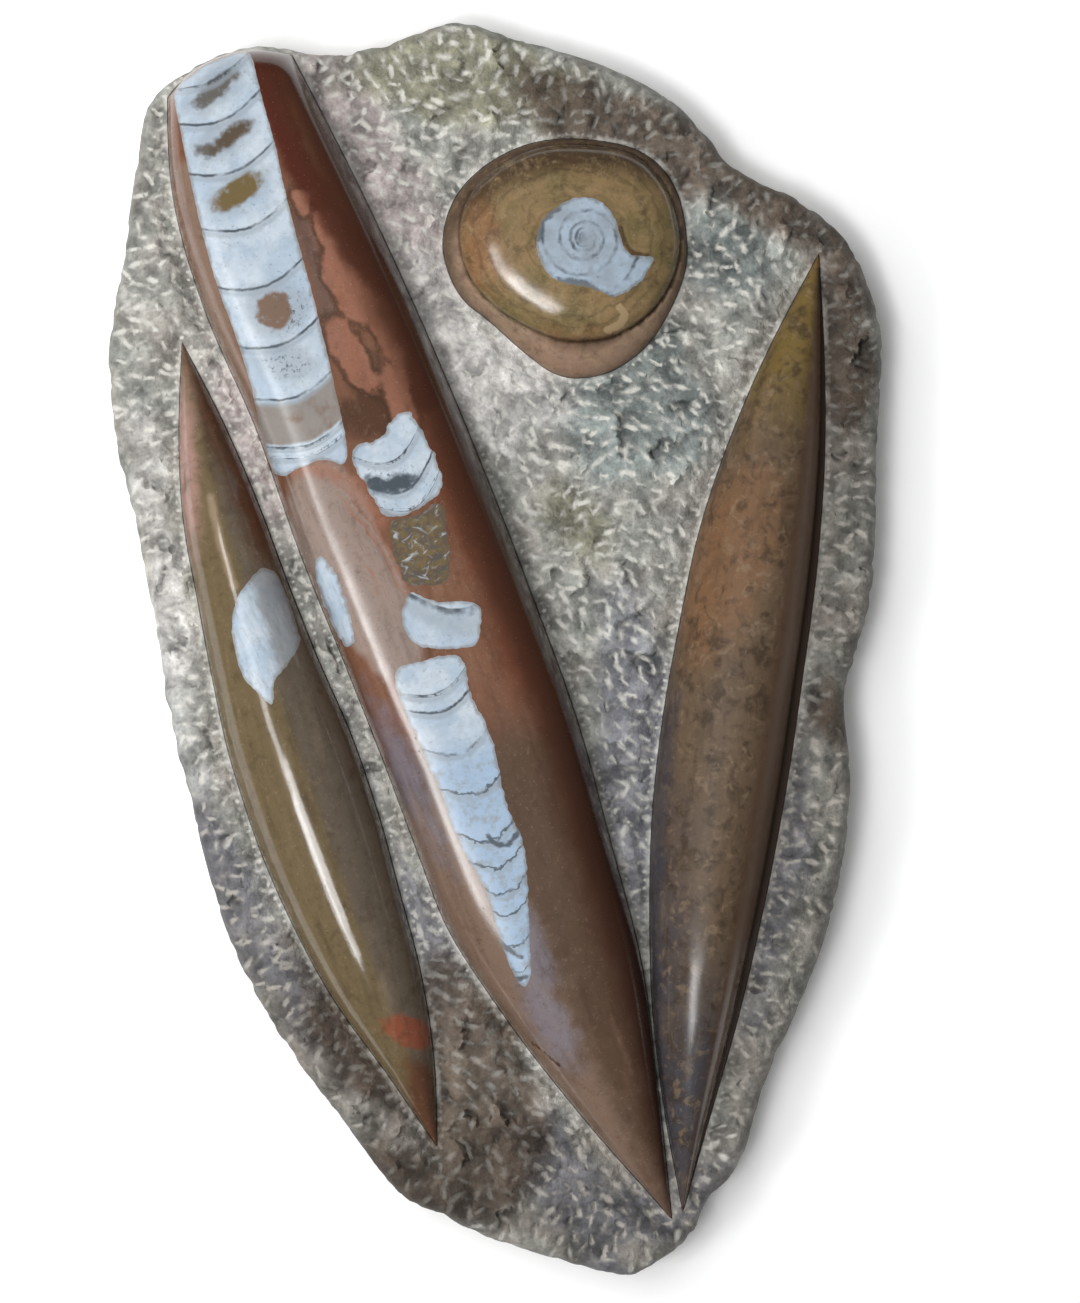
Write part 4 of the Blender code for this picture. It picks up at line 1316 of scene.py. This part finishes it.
def nearest_whole(tree, number, pitch):
    """Distance from the nearest whole number, where one step is a pitch long."""
    nearest = put(tree, "Math", {0: number}, operation="ROUND")
    away = put(tree, "Math", {0: number, 1: nearest}, operation="SUBTRACT")
    return put(tree, "Math", {0: away, 1: pitch}, operation="MULTIPLY")


def thread(tree, distance, where, width, wander, seed):
    """A mask of a thread, from the distance to its middle; wander may be a mask."""
    cloud = put(tree, "TexNoise", {"Vector": where, "W": seed, "Scale": 1 / 3.5, "Detail": 3.0},
                noise_dimensions="4D")
    shift = put(tree, "Math", {0: cloud, 1: 0.5}, operation="SUBTRACT")
    away = put(tree, "Math", {0: shift, 1: wander, 2: distance}, operation="MULTIPLY_ADD")
    away = put(tree, "Math", {0: away}, operation="ABSOLUTE")
    return put(tree, "MapRange", {"Value": away, "From Min": width, "From Max": 0.15 * width},
               interpolation_type="SMOOTHSTEP")


def chambered_calcite(settings):
    """White calcite that grew in the empty chambers, polished.

    Bluish white with a fine crystal mosaic, mud in some chambers, and a dark thread with a
    grey seam under it at each chamber wall.
    """
    material, tree, where = new_stone("chambered calcite, polished")
    colour = calcite_body(tree, where, settings, settings.white, settings.blue)
    below = zone(tree, "below", where, 6.0, 14.0, 14.0)
    colour = lay(tree, colour, settings.deep_blue, below, 0.75)
    colour = lay(tree, colour, settings.grey, below,
                 cloudy(tree, where, 4.0, 0.46, 0.66, 66.0, detail=5, rough=0.7))
    colour = lay_zones(tree, where, colour, settings,
                       ("grey", "halo", 0.55, 2.0, 5.0, 3.0, 9.0))
    crumbs = cloudy(tree, where, 3.2, 0.12, 0.44, 59.0, detail=4, rough=0.6)
    colour = lay_zones(tree, where, colour, settings,
                       ("mud_grey", "mud_grey", crumbs, 1.7, 4.0, 1.3, 8),
                       ("mud_brown", "mud_brown", crumbs, 1.3, 4.0, 1.3, 9),
                       ("mud_gold", "mud_gold", crumbs, 1.4, 4.0, 1.3, 8),
                       ("mud_rose", "mud_rose", crumbs, 1.8, 4.0, 1.3, 8),
                       ("mud_dark", "mud_dark", crumbs, 1.6, 4.0, 1.3, 8))
    tan = zone(tree, "tan", where, 0.8, 5.0, 1.0)
    colour = lay(tree, colour, settings.tan, tan, 0.85)
    colour = lay(tree, colour, settings.mud_rose, tan,
                 cloudy(tree, where, 8.0, 0.48, 0.72, 60.0, detail=4))
    colour = lay(tree, colour, settings.wall,
                 zone(tree, "specks", where, 2.5, 5.0, 3.5, seed=58.0),
                 cloudy(tree, where, 1.7, 0.52, 0.7, 61.0, detail=4, rough=0.65))
    distance = nearest_whole(
        tree, put(tree, "Attribute", out="Fac", attribute_name="chamber"),
        put(tree, "Attribute", out="Fac", attribute_name="pitch"))
    wander = put(tree, "MapRange", {"Value": below, "To Min": 1.6, "To Max": 7.0})
    seam = put(tree, "Math", {0: distance, 1: 1.9}, operation="SUBTRACT")
    seam = thread(tree, seam, where, 2.2, wander, 55.0)
    colour = lay(tree, colour, settings.grey, seam, 0.6)
    wall = thread(tree, distance, where, 1.05, wander, 54.0)
    colour = lay(tree, colour, settings.wall, wall, cloudy(tree, where, 9.0, 0.25, 0.6, 56.0))
    colour = lay_zones(tree, where, colour, settings,
                       ("wall", "dark_wall", 0.95, 0.8, 3, 0.6),
                       ("mud_and_shade", "edge", 0.6, 1.0, 4.0, 0.9, 57.0))
    polish(tree, where, colour, settings.polish, CALCITE_IOR)
    return material


def patch_calcite(settings):
    """Cloudy calcite with tufts of needle crystals, polished."""
    material, tree, where = new_stone("cloudy calcite, polished")
    colour = calcite_body(tree, where, settings, settings.white, settings.blue)
    needles = put(tree, "Mapping", {"Vector": where, "Rotation": (0, 0, math.radians(-64)),
                                    "Scale": (5, 1, 1)}, vector_type="TEXTURE")
    colour = lay_clouds(tree, needles, colour, settings, ("grey", 0.6, 1.8, 0.46, 0.74, 61.0))
    colour = lay_zones(tree, where, colour, settings,
                       # Painted shade: in_shade darkens the patch right of the cone's crest, on
                       # the cone's dark right face
                       ("mud_and_shade", "in_shade", 0.6, 2.0, 8, 3.0),
                       ("mud_and_shade", "edge", 0.6, 1.2, 4.0, 1.0))
    polish(tree, where, colour, settings.polish, CALCITE_IOR)
    return material


def coil_calcite(settings):
    """White calcite of a coiled shell, with the faint thread of its whorls, polished."""
    material, tree, where = new_stone("coiled calcite, polished")
    colour = calcite_body(tree, where, settings, settings.blue, settings.grey)
    offset = put(tree, "VectorMath", {0: where, 1: (*COIL_CENTRE, 0)}, operation="SUBTRACT")
    x = put(tree, "SeparateXYZ", {0: offset}, out="X")
    y = put(tree, "SeparateXYZ", {0: offset}, out="Y")
    radius = put(tree, "VectorMath", {0: put(tree, "CombineXYZ", {0: x, 1: y})}, out="Value",
                 operation="LENGTH")
    angle = put(tree, "Math", {0: y, 1: x}, operation="ARCTAN2")
    growth = put(tree, "Math", {0: radius, 1: COIL_RATIO}, operation="LOGARITHM")
    turns = put(tree, "Math", {0: angle, 1: 1 / (2 * math.pi), 2: growth},
                operation="MULTIPLY_ADD")
    pitch = put(tree, "Math", {0: radius, 1: math.log(COIL_RATIO)}, operation="MULTIPLY")
    whorl = thread(tree, nearest_whole(tree, turns, pitch), where, 1.3, 3.0, 62.0)
    colour = lay(tree, colour, settings.wall, whorl, cloudy(tree, where, 7.0, 0.3, 0.75, 65.0))
    ribs = put(tree, "Math", {0: angle, 1: 7.0, 2: growth}, operation="MULTIPLY_ADD")
    ribs = put(tree, "Math", {0: ribs}, operation="SINE")
    ribs = put(tree, "MapRange", {"Value": ribs, "From Min": 0.6, "From Max": 1.0})
    colour = lay(tree, colour, settings.grey, ribs, cloudy(tree, where, 4.0, 0.45, 0.7, 63.0))
    colour = lay_zones(tree, where, colour, settings,
                       ("wall", "nibbles", 0.8, 1.2, 3.0, 0.8, 64.0),
                       ("mud_and_shade", "edge", 0.6, 1.2, 3.0, 0.8))
    polish(tree, where, colour, settings.polish, CALCITE_IOR)
    return material


def breccia(settings):
    """Splinters of white and olive shell in dark mud, polished."""
    material, tree, where = new_stone("shell breccia, polished")
    colour = lay(tree, settings.mud_brown, settings.mud_gold,
                 cloudy(tree, where, 4.0, 0.42, 0.6, 3.0, detail=5, rough=0.7))
    colour = lay_clouds(tree, where, colour, settings,
                        ("mud_dark", 0.7, 3.0, 0.52, 0.66, 4.0, 5, 0.7))
    for turn, seed in ((42, 5.0), (-25, 6.0)):
        grain = put(tree, "Mapping", {"Vector": where, "Rotation": (0, 0, math.radians(turn)),
                                      "Scale": (2.2, 1, 1)}, vector_type="TEXTURE")
        colour = lay_clouds(tree, grain, colour, settings,
                            ("white", 0.6, 3.0, 0.55, 0.72, seed, 4, 0.55, 0.9))
    colour = lay_zones(tree, where, colour, settings, ("mud_brown", "edge", 0.8, 1.4, 4, 1.2))
    polish(tree, where, colour, settings.polish, ior=1.57)
    return material


# ---------------------------------------------------------------------------------------------
# The polished fossils
# ---------------------------------------------------------------------------------------------

def shell_loop(name):
    """The edge of a calcite shell, ragged as the broken shell is; its pocket shares it."""
    loop = smooth_loop(underside_loop(name), 1.0)
    ragged = fractal(loop, 2.6, 2, len(name) * 1.7) + 0.6 * fractal(loop, 9.0, 1, len(name) * 2.3)
    return loop + outward(loop) * (SOCKET_GAP / 2 + RAGGED_EDGE[name] * ragged)[:, None]


EDGE_CLEARANCE = 0.45    # least distance from a point of a fossil's face to its edges
LEAST_STEP = 0.62        # and to the next point


def make_body(name, inner, fields, material, piece_name):
    """A fossil with a polished top and a pocket for each shell that it holds."""
    shape = SHAPES[name]
    outline = shape.outline(EDGE_STEP)
    pockets = [(shell_loop(shell), floor_of(shell))
               for shell, host in SHELL_HOSTS.items() if host == name]
    inner = keep_inside(inner, outline, [loop for loop, _ in pockets], EDGE_CLEARANCE)
    inner = thin_out(inner, LEAST_STEP)
    bottom = SOCKET_FLOOR + SOCKET_GAP
    piece = carve(piece_name, outline, shape.height, [(outline, bottom)], pockets, inner, fields,
                  shape)
    return seat(piece, name, material)


def make_center_cone(settings):
    shape = SHAPES["orthocone_center"]
    left_of_crest, low_down = beyond(shape, -0.1), past(shape, DULL_FROM)
    fields = {
        **zone_fields(CENTER_ZONES), **strip_fields(CENTER_STRIPS),
        "lower": past(shape, OLIVE_FROM),
        # Partly the stone's darker colour, partly painted shade along the right flank, which
        # faces away from the light
        "far_side_stone_and_shade": beyond(shape, 0.56),
        "left_half": lambda plane: np.minimum(-left_of_crest(plane), low_down(plane)),
        "swirl": lambda plane: -blobs(plane, CENTER_ZONES["window"][:1]),
    }
    inner = shape.lattice(mm(settings.mesh_step), count=76)
    return make_body("orthocone_center", inner, fields, center_stone(settings),
                     "center_orthocone")


def make_left_cone(settings):
    shape = SHAPES["orthocone_left"]
    fields = {**zone_fields(LEFT_ZONES), **strip_fields(LEFT_STRIPS),
              "right_face": beyond(shape, 0.15)}
    inner = shape.lattice(mm(settings.mesh_step), count=48)
    return make_body("orthocone_left", inner, fields, left_stone(settings),
                     "left_orthocone")


def make_right_cone(settings):
    shape = SHAPES["orthocone_right"]
    left_edge, worn = beyond(shape, -0.78), past(shape, WORN_TO)
    fields = {
        **zone_fields(RIGHT_ZONES),
        "groove": beyond(shape, 0.87),
        # Partly the stone's darker colour, partly painted shade on the right face, which faces
        # away from the light
        "far_side_stone_and_shade": beyond(shape, 0.5),
        "worn": lambda plane: -worn(plane),
        # Painted reflection: a bluish strip along the lower left edge
        "painted_edge_reflection": lambda plane: np.minimum(-left_edge(plane), (-20 - plane[:, 1]) / 6),
    }
    inner = shape.lattice(mm(settings.mesh_step), count=52)
    return make_body("orthocone_right", inner, fields, right_stone(settings),
                     "right_orthocone")


def make_disc(settings):
    shape = SHAPES["goniatite_disc"]
    radius = shape.reach.mean()

    def from_dome(plane):
        return (shape.ratio(plane)[1] - 1) * radius

    def from_edge(plane):
        return (shape.ratio(plane)[0] - 1) * radius

    fields = {
        **zone_fields(BOSS_ZONES), **strip_fields(BOSS_STRIPS),
        "arc": lambda plane: from_dome(plane) + radius,
        "ring": from_dome,
        # Painted shade in the crease round the dome, deepest at the foot
        "crease": lambda plane: 1.8 * shape.foot_side(plane) - 0.5 - np.abs(from_dome(plane)),
        "rim": lambda plane: (from_edge(plane) + 0.07 * radius
                              - 0.12 * np.maximum(shape.centre[1] - plane[:, 1], 0)),
        # Painted shade over the boss's upper side, away from the light
        "shady": lambda plane: (60 * (0.42 - shape.foot_side(plane)) + 0.9 * from_edge(plane)),
    }
    inner = shape.lattice(mm(settings.mesh_step), count=44)
    return make_body("goniatite_disc", inner, fields, disc_stone(settings),
                     "goniatite_boss")


class Chambers:
    """The bowed walls across a straight shell, as places along the central cone."""

    def __init__(self, walls, sag, tilt, middle, half_width):
        self.walls, self.sag, self.tilt = np.array(walls, float), sag, tilt
        self.middle, self.half_width = middle, half_width

    def along(self, points):
        u, v = SHAPES["orthocone_center"].local(points)
        across = (v - np.interp(u, *self.middle)) / np.interp(u, *self.half_width)
        return u + self.sag * np.abs(across) ** 1.8 - self.tilt * across

    def number(self, points):
        """Counts the walls passed; whole numbers lie on a wall."""
        places = np.concatenate(([self.walls[0] - 60], self.walls, [self.walls[-1] + 60]))
        counts = np.concatenate(([0.5], np.arange(1, len(self.walls) + 1),
                                 [len(self.walls) + 0.5]))
        return np.interp(self.along(points), places, counts)

    def pitch(self, points):
        gaps = np.diff(self.walls) if len(self.walls) > 1 else np.array([30.0])
        count = self.number(points).astype(int) - 1
        return np.where((count < 0) | (count >= len(gaps)), 120.0,
                        gaps[np.clip(count, 0, len(gaps) - 1)])


CHAMBERS = {
    "chambers_upper": Chambers((17.6, 35.5, 59.0, 84.8, 111.7, 138.5, 162.4, 184.5, 189.0), 6.5,
                               0.0, ((30, 180), (-17, -29.5)), ((30, 180), (20, 20))),
    "chambers_offset": Chambers((204.5, 218.5, 226.8), 9.0, 0.5, ((190, 240), (0, 2)),
                                ((190, 240), (16, 15))),
    "chambers_loose": Chambers((275.0,), 4.2, 5.9, ((260, 300), (3, 3)), ((260, 300), (12, 12))),
    "chambers_lower": Chambers((307.9, 315.9, 336.0, 355.7, 377.6, 390.0, 401.7, 410.9, 425.4,
                                436.3), 5.5, 0.0,
                               ((300, 350, 390, 410, 425, 440), (-16, -14, -16, -19, -22, -25)),
                               ((300, 350, 375, 400, 425, 440), (15, 12.5, 11, 10, 8, 6))),
}


def make_shell(name, material, step, piece_name, fields):
    loop = shell_loop(name)
    random = np.random.default_rng(len(name))
    inner = keep_inside(grid_over(loop, step, random, 0.1), loop, [], 0.4)
    fields = {**fields, "edge": lambda plane: 1.0 - distance_to(plane, loop)}
    shape = SHAPES[SHELL_HOSTS[name]]
    piece = carve(piece_name, loop, shape.height, [(loop, floor_of(name))], (), inner, fields,
                  shape)
    return seat(piece, name, material)


def make_chambers(settings):
    """The straight shells: white calcite between dark walls."""
    material = chambered_calcite(settings)
    middle, half_depth = TAN_CHAMBER
    for name, chambers in CHAMBERS.items():
        fields = {
            **zone_fields(MUD_ZONES),
            "chamber": chambers.number,
            "pitch": chambers.pitch,
            "below": past(SHAPES["orthocone_center"], BLUISH_FROM),
            "tan": lambda plane, n=name, c=chambers: (
                half_depth - np.abs(c.along(plane) - middle) if n == "chambers_upper"
                else np.full(len(plane), -9.0)),
            "dark_wall": lambda plane: np.max(
                [strip(plane, path, DARK_WALL) for path in DARK_WALL_PATHS], axis=0),
        }
        make_shell(name, material, mm(settings.mesh_step), name + "_calcite", fields)


def make_patches(settings):
    """Calcite that shows on the flanks of two cones without chamber walls."""
    material = patch_calcite(settings)
    shade = {"calcite_flank": lambda plane: np.full(len(plane), -20.0),
             # Painted shade over the part right of the left cone's crest
             "calcite_left": beyond(SHAPES["orthocone_left"], 0.3)}
    for name, field in shade.items():
        make_shell(name, material, mm(settings.mesh_step), name + "_patch", {"in_shade": field})


def make_coil(settings):
    """The goniatite's coil, white calcite with the spiral of its whorls."""
    make_shell("goniatite_coil", coil_calcite(settings), mm(settings.mesh_step) * 0.7,
               "goniatite_coil_calcite", zone_fields(COIL_ZONES))


def make_crushed(settings):
    """Splinters of shell in dark mud."""
    make_shell("crushed_shell", breccia(settings), mm(settings.mesh_step),
               "crushed_shell_breccia", {})


# ---------------------------------------------------------------------------------------------
# Settings
# ---------------------------------------------------------------------------------------------


def length(name, text, millimetres):
    return FloatProperty(name=name, description=text, default=millimetres * MM, min=0.0,
                         precision=4, unit="LENGTH")


def hue(name, text, hex_code):
    return FloatVectorProperty(name=name, description=text, default=linear(hex_code), min=0.0,
                               max=1.0, size=3, subtype="COLOR")


def gloss(default):
    return FloatProperty(name="Polish", description="Roughness of the polished face",
                         default=default, min=0.0, max=1.0, subtype="FACTOR")


class PlateGroundSettings(bpy.types.PropertyGroup):
    """The pecked limestone slab."""
    seed: IntProperty(name="Seed", description="Seed of the chisel strokes", default=7)
    mesh_step: length("Mesh step", "Least spacing of the top's points", 0.95)
    chip_depth: length("Chips", "How deep the rim is chipped", 1.6)
    stroke_spacing: length("Stroke spacing", "Spacing of the long chisel strokes", 7.2)
    stroke_length: length("Stroke length", "Longest chisel stroke", 10.5)
    stroke_width: length("Stroke width", "Widest chisel stroke", 3.6)
    stroke_depth: length("Stroke depth", "Deepest chisel stroke", 1.5)
    pit_spacing: length("Pit spacing", "Spacing of the small pits", 4.6)
    ground: hue("Ground", "Fresh grey-green marl", "#8e908a")
    ground_warm: hue("Warm ground", "Buff marl", "#96918a")
    mauve: hue("Mauve", "Ground stained pinkish grey", "#b3a8a6")
    olive: hue("Olive", "Ground stained olive", "#878571")
    umber: hue("Umber", "Weathered brown ground", "#55483c")
    slate: hue("Slate", "Bluish grey ground", "#767e7c")
    violet_tint_and_sheen: hue("Violet", "Ground stained violet grey", "#76777e")
    # Partly the pale bruised ground, partly painted light that lifts the shade beside the central
    # cone
    chalky: hue("Chalky", "Ground bruised all over", "#c4c1be")
    # Painted shade: darkens the ground towards the right and lower edges, where the light falls
    # off
    falloff_shade_tint: hue("Dusk", "Tint of the stained edges at the right and below", "#d2cecb")
    bruise: hue("Bruise", "Chalky crushed stone in a stroke", "#e2e0d8")


class CenterConeSettings(bpy.types.PropertyGroup):
    """The central orthocone."""
    mesh_step: length("Mesh step", "Spacing of the rows along the cone", 1.5)
    polish: gloss(0.2)
    brown: hue("Brown", "Common red-brown", "#6e4a37")
    umber: hue("Umber", "Darkest streaks", "#3a2618")
    tan: hue("Tan", "Palest streaks", "#8f7361")
    olive: hue("Olive", "The lower half", "#523f31")
    rust: hue("Rust", "Iron-stained streaks", "#6a3622")
    deep_red: hue("Deep red", "The strip beside the shell", "#461b0e")
    salmon: hue("Salmon", "Patches of pink mud", "#8f604c")
    flank: hue("Flank", "The duller strip left of the shell", "#7a6557")
    grey_rim: hue("Grey rim", "The cool strip at the right edge", "#5f4d47")
    # Partly the stone's pale beige, partly painted sheen on the broad flank
    window: hue("Window", "The pale flank", "#8c7c73")
    # Painted sheen: the violet-grey reflection on the crown beside the lower shell
    violet_tint_and_sheen: hue("Violet", "Stone bruised grey beside the lower shell", "#74707a")
    # Partly the stone's darker colour, partly painted shade along the right flank, which faces
    # away from the light
    far_side_stone_and_shade: hue("Far side", "The dark stone along the right edge", "#3c2013")


class LeftConeSettings(bpy.types.PropertyGroup):
    """The small orthocone on the left."""
    mesh_step: length("Mesh step", "Spacing of the rows along the cone", 1.5)
    polish: gloss(0.12)
    brown: hue("Brown", "Common brown", "#64563e")
    umber: hue("Umber", "Darkest streaks", "#3a2d20")
    tan: hue("Tan", "Palest streaks", "#8d7a64")
    olive: hue("Olive", "The right face", "#5e5448")
    rust: hue("Rust", "The dark red tips", "#54301f")
    pink: hue("Pink", "The upper tip's left edge", "#a5827a")
    orange: hue("Orange", "The patch above the lower tip", "#83452f")


class RightConeSettings(bpy.types.PropertyGroup):
    """The broad orthocone on the right."""
    mesh_step: length("Mesh step", "Spacing of the rows along the cone", 1.5)
    polish: gloss(0.2)
    brown: hue("Brown", "Common brown", "#5c4c3c")
    umber: hue("Umber", "Dark burrow fill", "#352a20")
    tan: hue("Tan", "Pale flecks", "#806d58")
    olive: hue("Olive", "The upper tip", "#68562f")
    rust: hue("Rust", "The iron-stained shoulder", "#74543a")
    # Painted reflection: the bluish-grey haze over the lower half
    violet_tint_and_sheen: hue("Violet", "The cool lower half", "#383941")
    # Partly the stone's darker colour, partly painted shade on the right face, which faces away
    # from the light
    far_side_stone_and_shade: hue("Far side", "The right face", "#563e2c")
    # Painted shade in the groove along the right edge
    groove: hue("Groove", "Dirt in the groove", "#241a13")


class GoniatiteSettings(bpy.types.PropertyGroup):
    """The goniatite's boss."""
    mesh_step: length("Mesh step", "Spacing of the points round the boss", 1.3)
    polish: gloss(0.16)
    honey: hue("Honey", "Common colour of the dome", "#866f4e")
    olive: hue("Olive", "Clouds in the dome", "#6b5f3e")
    umber: hue("Umber", "Dark growth arcs", "#3b2c20")
    # Also painted shade, over the boss's upper side and in the crease round the dome
    tan: hue("Tan", "Pale growth arcs", "#a08a6a")
    russet: hue("Russet", "Iron-stained clouds", "#84573c")
    bevel: hue("Bevel", "The ring round the dome", "#8b7466")
    rim: hue("Rim", "The bevel's outer edge", "#564639")


class CalciteSettings(bpy.types.PropertyGroup):
    """The white calcite shells."""
    mesh_step: length("Mesh step", "Spacing of the points in a shell", 1.0)
    polish: gloss(0.28)
    white: hue("White", "Clean calcite", "#b9c3cc")
    blue: hue("Blue", "Thick, bluish calcite", "#9fafbf")
    deep_blue: hue("Deep blue", "Calcite of the lower shell", "#8ba4be")
    grey: hue("Grey", "Calcite clouded by mud", "#87919a")
    wall: hue("Wall", "Chamber walls", "#3d464e")
    # Also painted shade, over the right part of the left cone's calcite patch
    mud_and_shade: hue("Dirt", "Mud along a shell's edge", "#6b655f")
    tan: hue("Tan", "The chamber filled with pale mud", "#786b5f")
    mud_grey: hue("Grey mud", "Fill of the first chamber", "#57544f")
    mud_brown: hue("Brown mud", "Fill of the second chamber", "#4f4233")
    mud_gold: hue("Gold mud", "Fill of the third chamber", "#64532f")
    mud_rose: hue("Rose mud", "Fill of the fifth chamber", "#6d5646")
    mud_dark: hue("Dark mud", "Blotch in the slipped stack", "#39424b")


class StageSettings(bpy.types.PropertyGroup):
    """Floor, window light and camera."""
    floor_size: length("Floor", "Length of the floor's sides", 8000.0)
    floor_color: hue("Floor colour", "Pale paper", "#ffffff")
    light: FloatProperty(name="Light", description="Strength of the windows", default=1.0,
                         min=0.0)
    sky: FloatProperty(name="Sky", description="Strength of the even light from all round",
                       default=0.12, min=0.0)


# ---------------------------------------------------------------------------------------------
# Stage
# ---------------------------------------------------------------------------------------------

CAMERA_HEIGHT = 2400.0   # above the underside, in millimetres
CAMERA_OFFSET = (20.25, -1.125)
FRAME_LENGTH = 592.0     # long side of the view, measured in the plane of the underside
SENSOR = 36.0
FLOOR_DROP = 1.0         # how far the floor lies under the plate
SKY_TINT = (0.95, 0.98, 1.0)       # linear red, green and blue
# Soft lights: name, bearing anticlockwise from +X, height above the plate's plane, distance,
# width, height (degrees and metres), power in watts, and whether the polish mirrors it
WINDOWS = (
    ("window", 222.0, 71.0, 2.5, 0.75, 0.55, 14.0, True),
    ("window_side", 199.0, 67.0, 2.5, 1.3, 0.35, 11.0, True),
    ("daylight", 204.7, 38.0, 2.3, 0.6, 0.5, 15.0, False),
    ("fill", 140.0, 52.0, 1.3, 1.2, 1.2, 11.0, False),
    ("ceiling", 0.0, 90.0, 2.6, 4.0, 4.0, 22.0, False),
)


def make_stage(settings):
    scene = bpy.context.scene
    scene.view_settings.view_transform = "Standard"
    camera = bpy.data.objects.new("camera", bpy.data.cameras.new("camera"))
    camera.data.sensor_fit = "VERTICAL"
    camera.data.sensor_height = SENSOR
    camera.data.lens = SENSOR * CAMERA_HEIGHT / FRAME_LENGTH
    camera.location = Vector((*CAMERA_OFFSET, CAMERA_HEIGHT)) * MM
    scene.collection.objects.link(camera)
    scene.camera = camera

    half = settings.floor_size / 2
    mesh = bpy.data.meshes.new("floor")
    under = -FLOOR_DROP * MM
    mesh.from_pydata([(-half, -half, under), (half, -half, under), (half, half, under),
                      (-half, half, under)], [], [(0, 1, 2, 3)])
    floor = bpy.data.objects.new("floor", mesh)
    scene.collection.objects.link(floor)
    material, tree, where = new_stone("matt paper")
    speck = put(tree, "TexNoise", {"Vector": where, "Scale": 1 / 40})
    shade = put(tree, "MapRange", {"Value": speck, "To Min": 0.85, "To Max": 0.95})
    dress(tree, settings.floor_color, shade, speck, 1.4, depth=0.01)
    mesh.materials.append(material)

    for name, bearing, lift, away, width, height, power, mirrored in WINDOWS:
        bearing, lift = math.radians(bearing), math.radians(lift)
        toward = Vector((math.cos(bearing) * math.cos(lift), math.sin(bearing) * math.cos(lift),
                         math.sin(lift)))
        window = bpy.data.objects.new(name, bpy.data.lights.new(name, "AREA"))
        window.data.shape = "RECTANGLE"
        window.data.size, window.data.size_y = width, height
        window.data.energy = power * settings.light
        window.location = toward * away
        window.rotation_euler = toward.to_track_quat("Z", "Y").to_euler()
        window.visible_glossy = mirrored
        scene.collection.objects.link(window)

    world = bpy.data.worlds.new("even light")
    world.use_nodes = True
    sky = world.node_tree.nodes["Background"].inputs
    sky["Color"].default_value = (*SKY_TINT, 1.0)
    sky["Strength"].default_value = settings.sky
    scene.world = world


# ---------------------------------------------------------------------------------------------
# Operators and panel
# ---------------------------------------------------------------------------------------------

class FOSSIL_OT_ground(bpy.types.Operator):
    """Make the pecked limestone slab"""
    bl_idname = "fossil.ground"
    bl_label = "Pecked Ground"

    def execute(self, context):
        make_slab(context.scene.plate_ground)
        return {"FINISHED"}


class FOSSIL_OT_center_cone(bpy.types.Operator):
    """Make the central orthocone"""
    bl_idname = "fossil.center_cone"
    bl_label = "Central Orthocone"

    def execute(self, context):
        make_center_cone(context.scene.plate_center_cone)
        return {"FINISHED"}


class FOSSIL_OT_side_cones(bpy.types.Operator):
    """Make the orthocones on the left and right"""
    bl_idname = "fossil.side_cones"
    bl_label = "Side Orthocones"

    def execute(self, context):
        make_left_cone(context.scene.plate_left_cone)
        make_right_cone(context.scene.plate_right_cone)
        return {"FINISHED"}


class FOSSIL_OT_goniatite(bpy.types.Operator):
    """Make the goniatite's boss"""
    bl_idname = "fossil.goniatite"
    bl_label = "Goniatite Boss"

    def execute(self, context):
        make_disc(context.scene.plate_goniatite)
        return {"FINISHED"}


class FOSSIL_OT_calcite(bpy.types.Operator):
    """Make the calcite shells, the coil and the crushed shell"""
    bl_idname = "fossil.calcite"
    bl_label = "Calcite Shells"

    def execute(self, context):
        settings = context.scene.plate_calcite
        make_chambers(settings)
        make_patches(settings)
        make_coil(settings)
        make_crushed(settings)
        return {"FINISHED"}


class FOSSIL_OT_stage(bpy.types.Operator):
    """Set up the floor, the light and the camera"""
    bl_idname = "fossil.stage"
    bl_label = "Stage"

    def execute(self, context):
        make_stage(context.scene.plate_stage)
        return {"FINISHED"}


class FOSSIL_PT_plate(bpy.types.Panel):
    """Lists the makers of the plate's pieces and their settings"""
    bl_idname = "FOSSIL_PT_plate"
    bl_label = "Fossil Plate"
    bl_space_type = "VIEW_3D"
    bl_region_type = "UI"
    bl_category = "Fossil"

    def draw(self, context):
        for operator in OPERATORS:
            self.layout.operator(operator.bl_idname)
        for name, group in SETTINGS.items():
            box = self.layout.box()
            box.label(text=group.__doc__)
            for key in group.__annotations__:
                box.prop(getattr(context.scene, name), key)


SETTINGS = {
    "plate_ground": PlateGroundSettings,
    "plate_center_cone": CenterConeSettings,
    "plate_left_cone": LeftConeSettings,
    "plate_right_cone": RightConeSettings,
    "plate_goniatite": GoniatiteSettings,
    "plate_calcite": CalciteSettings,
    "plate_stage": StageSettings,
}
OPERATORS = (FOSSIL_OT_stage, FOSSIL_OT_ground, FOSSIL_OT_center_cone, FOSSIL_OT_side_cones,
             FOSSIL_OT_goniatite, FOSSIL_OT_calcite)


def register():
    for group in (*SETTINGS.values(), *OPERATORS, FOSSIL_PT_plate):
        bpy.utils.register_class(group)
    for name, group in SETTINGS.items():
        setattr(bpy.types.Scene, name, PointerProperty(type=group))


def unregister():
    for name in SETTINGS:
        delattr(bpy.types.Scene, name)
    for group in reversed((*SETTINGS.values(), *OPERATORS, FOSSIL_PT_plate)):
        bpy.utils.unregister_class(group)


def main():
    register()
    for operator in OPERATORS:
        module, name = operator.bl_idname.split(".")
        getattr(getattr(bpy.ops, module), name)()


if __name__ == "__main__":
    main()
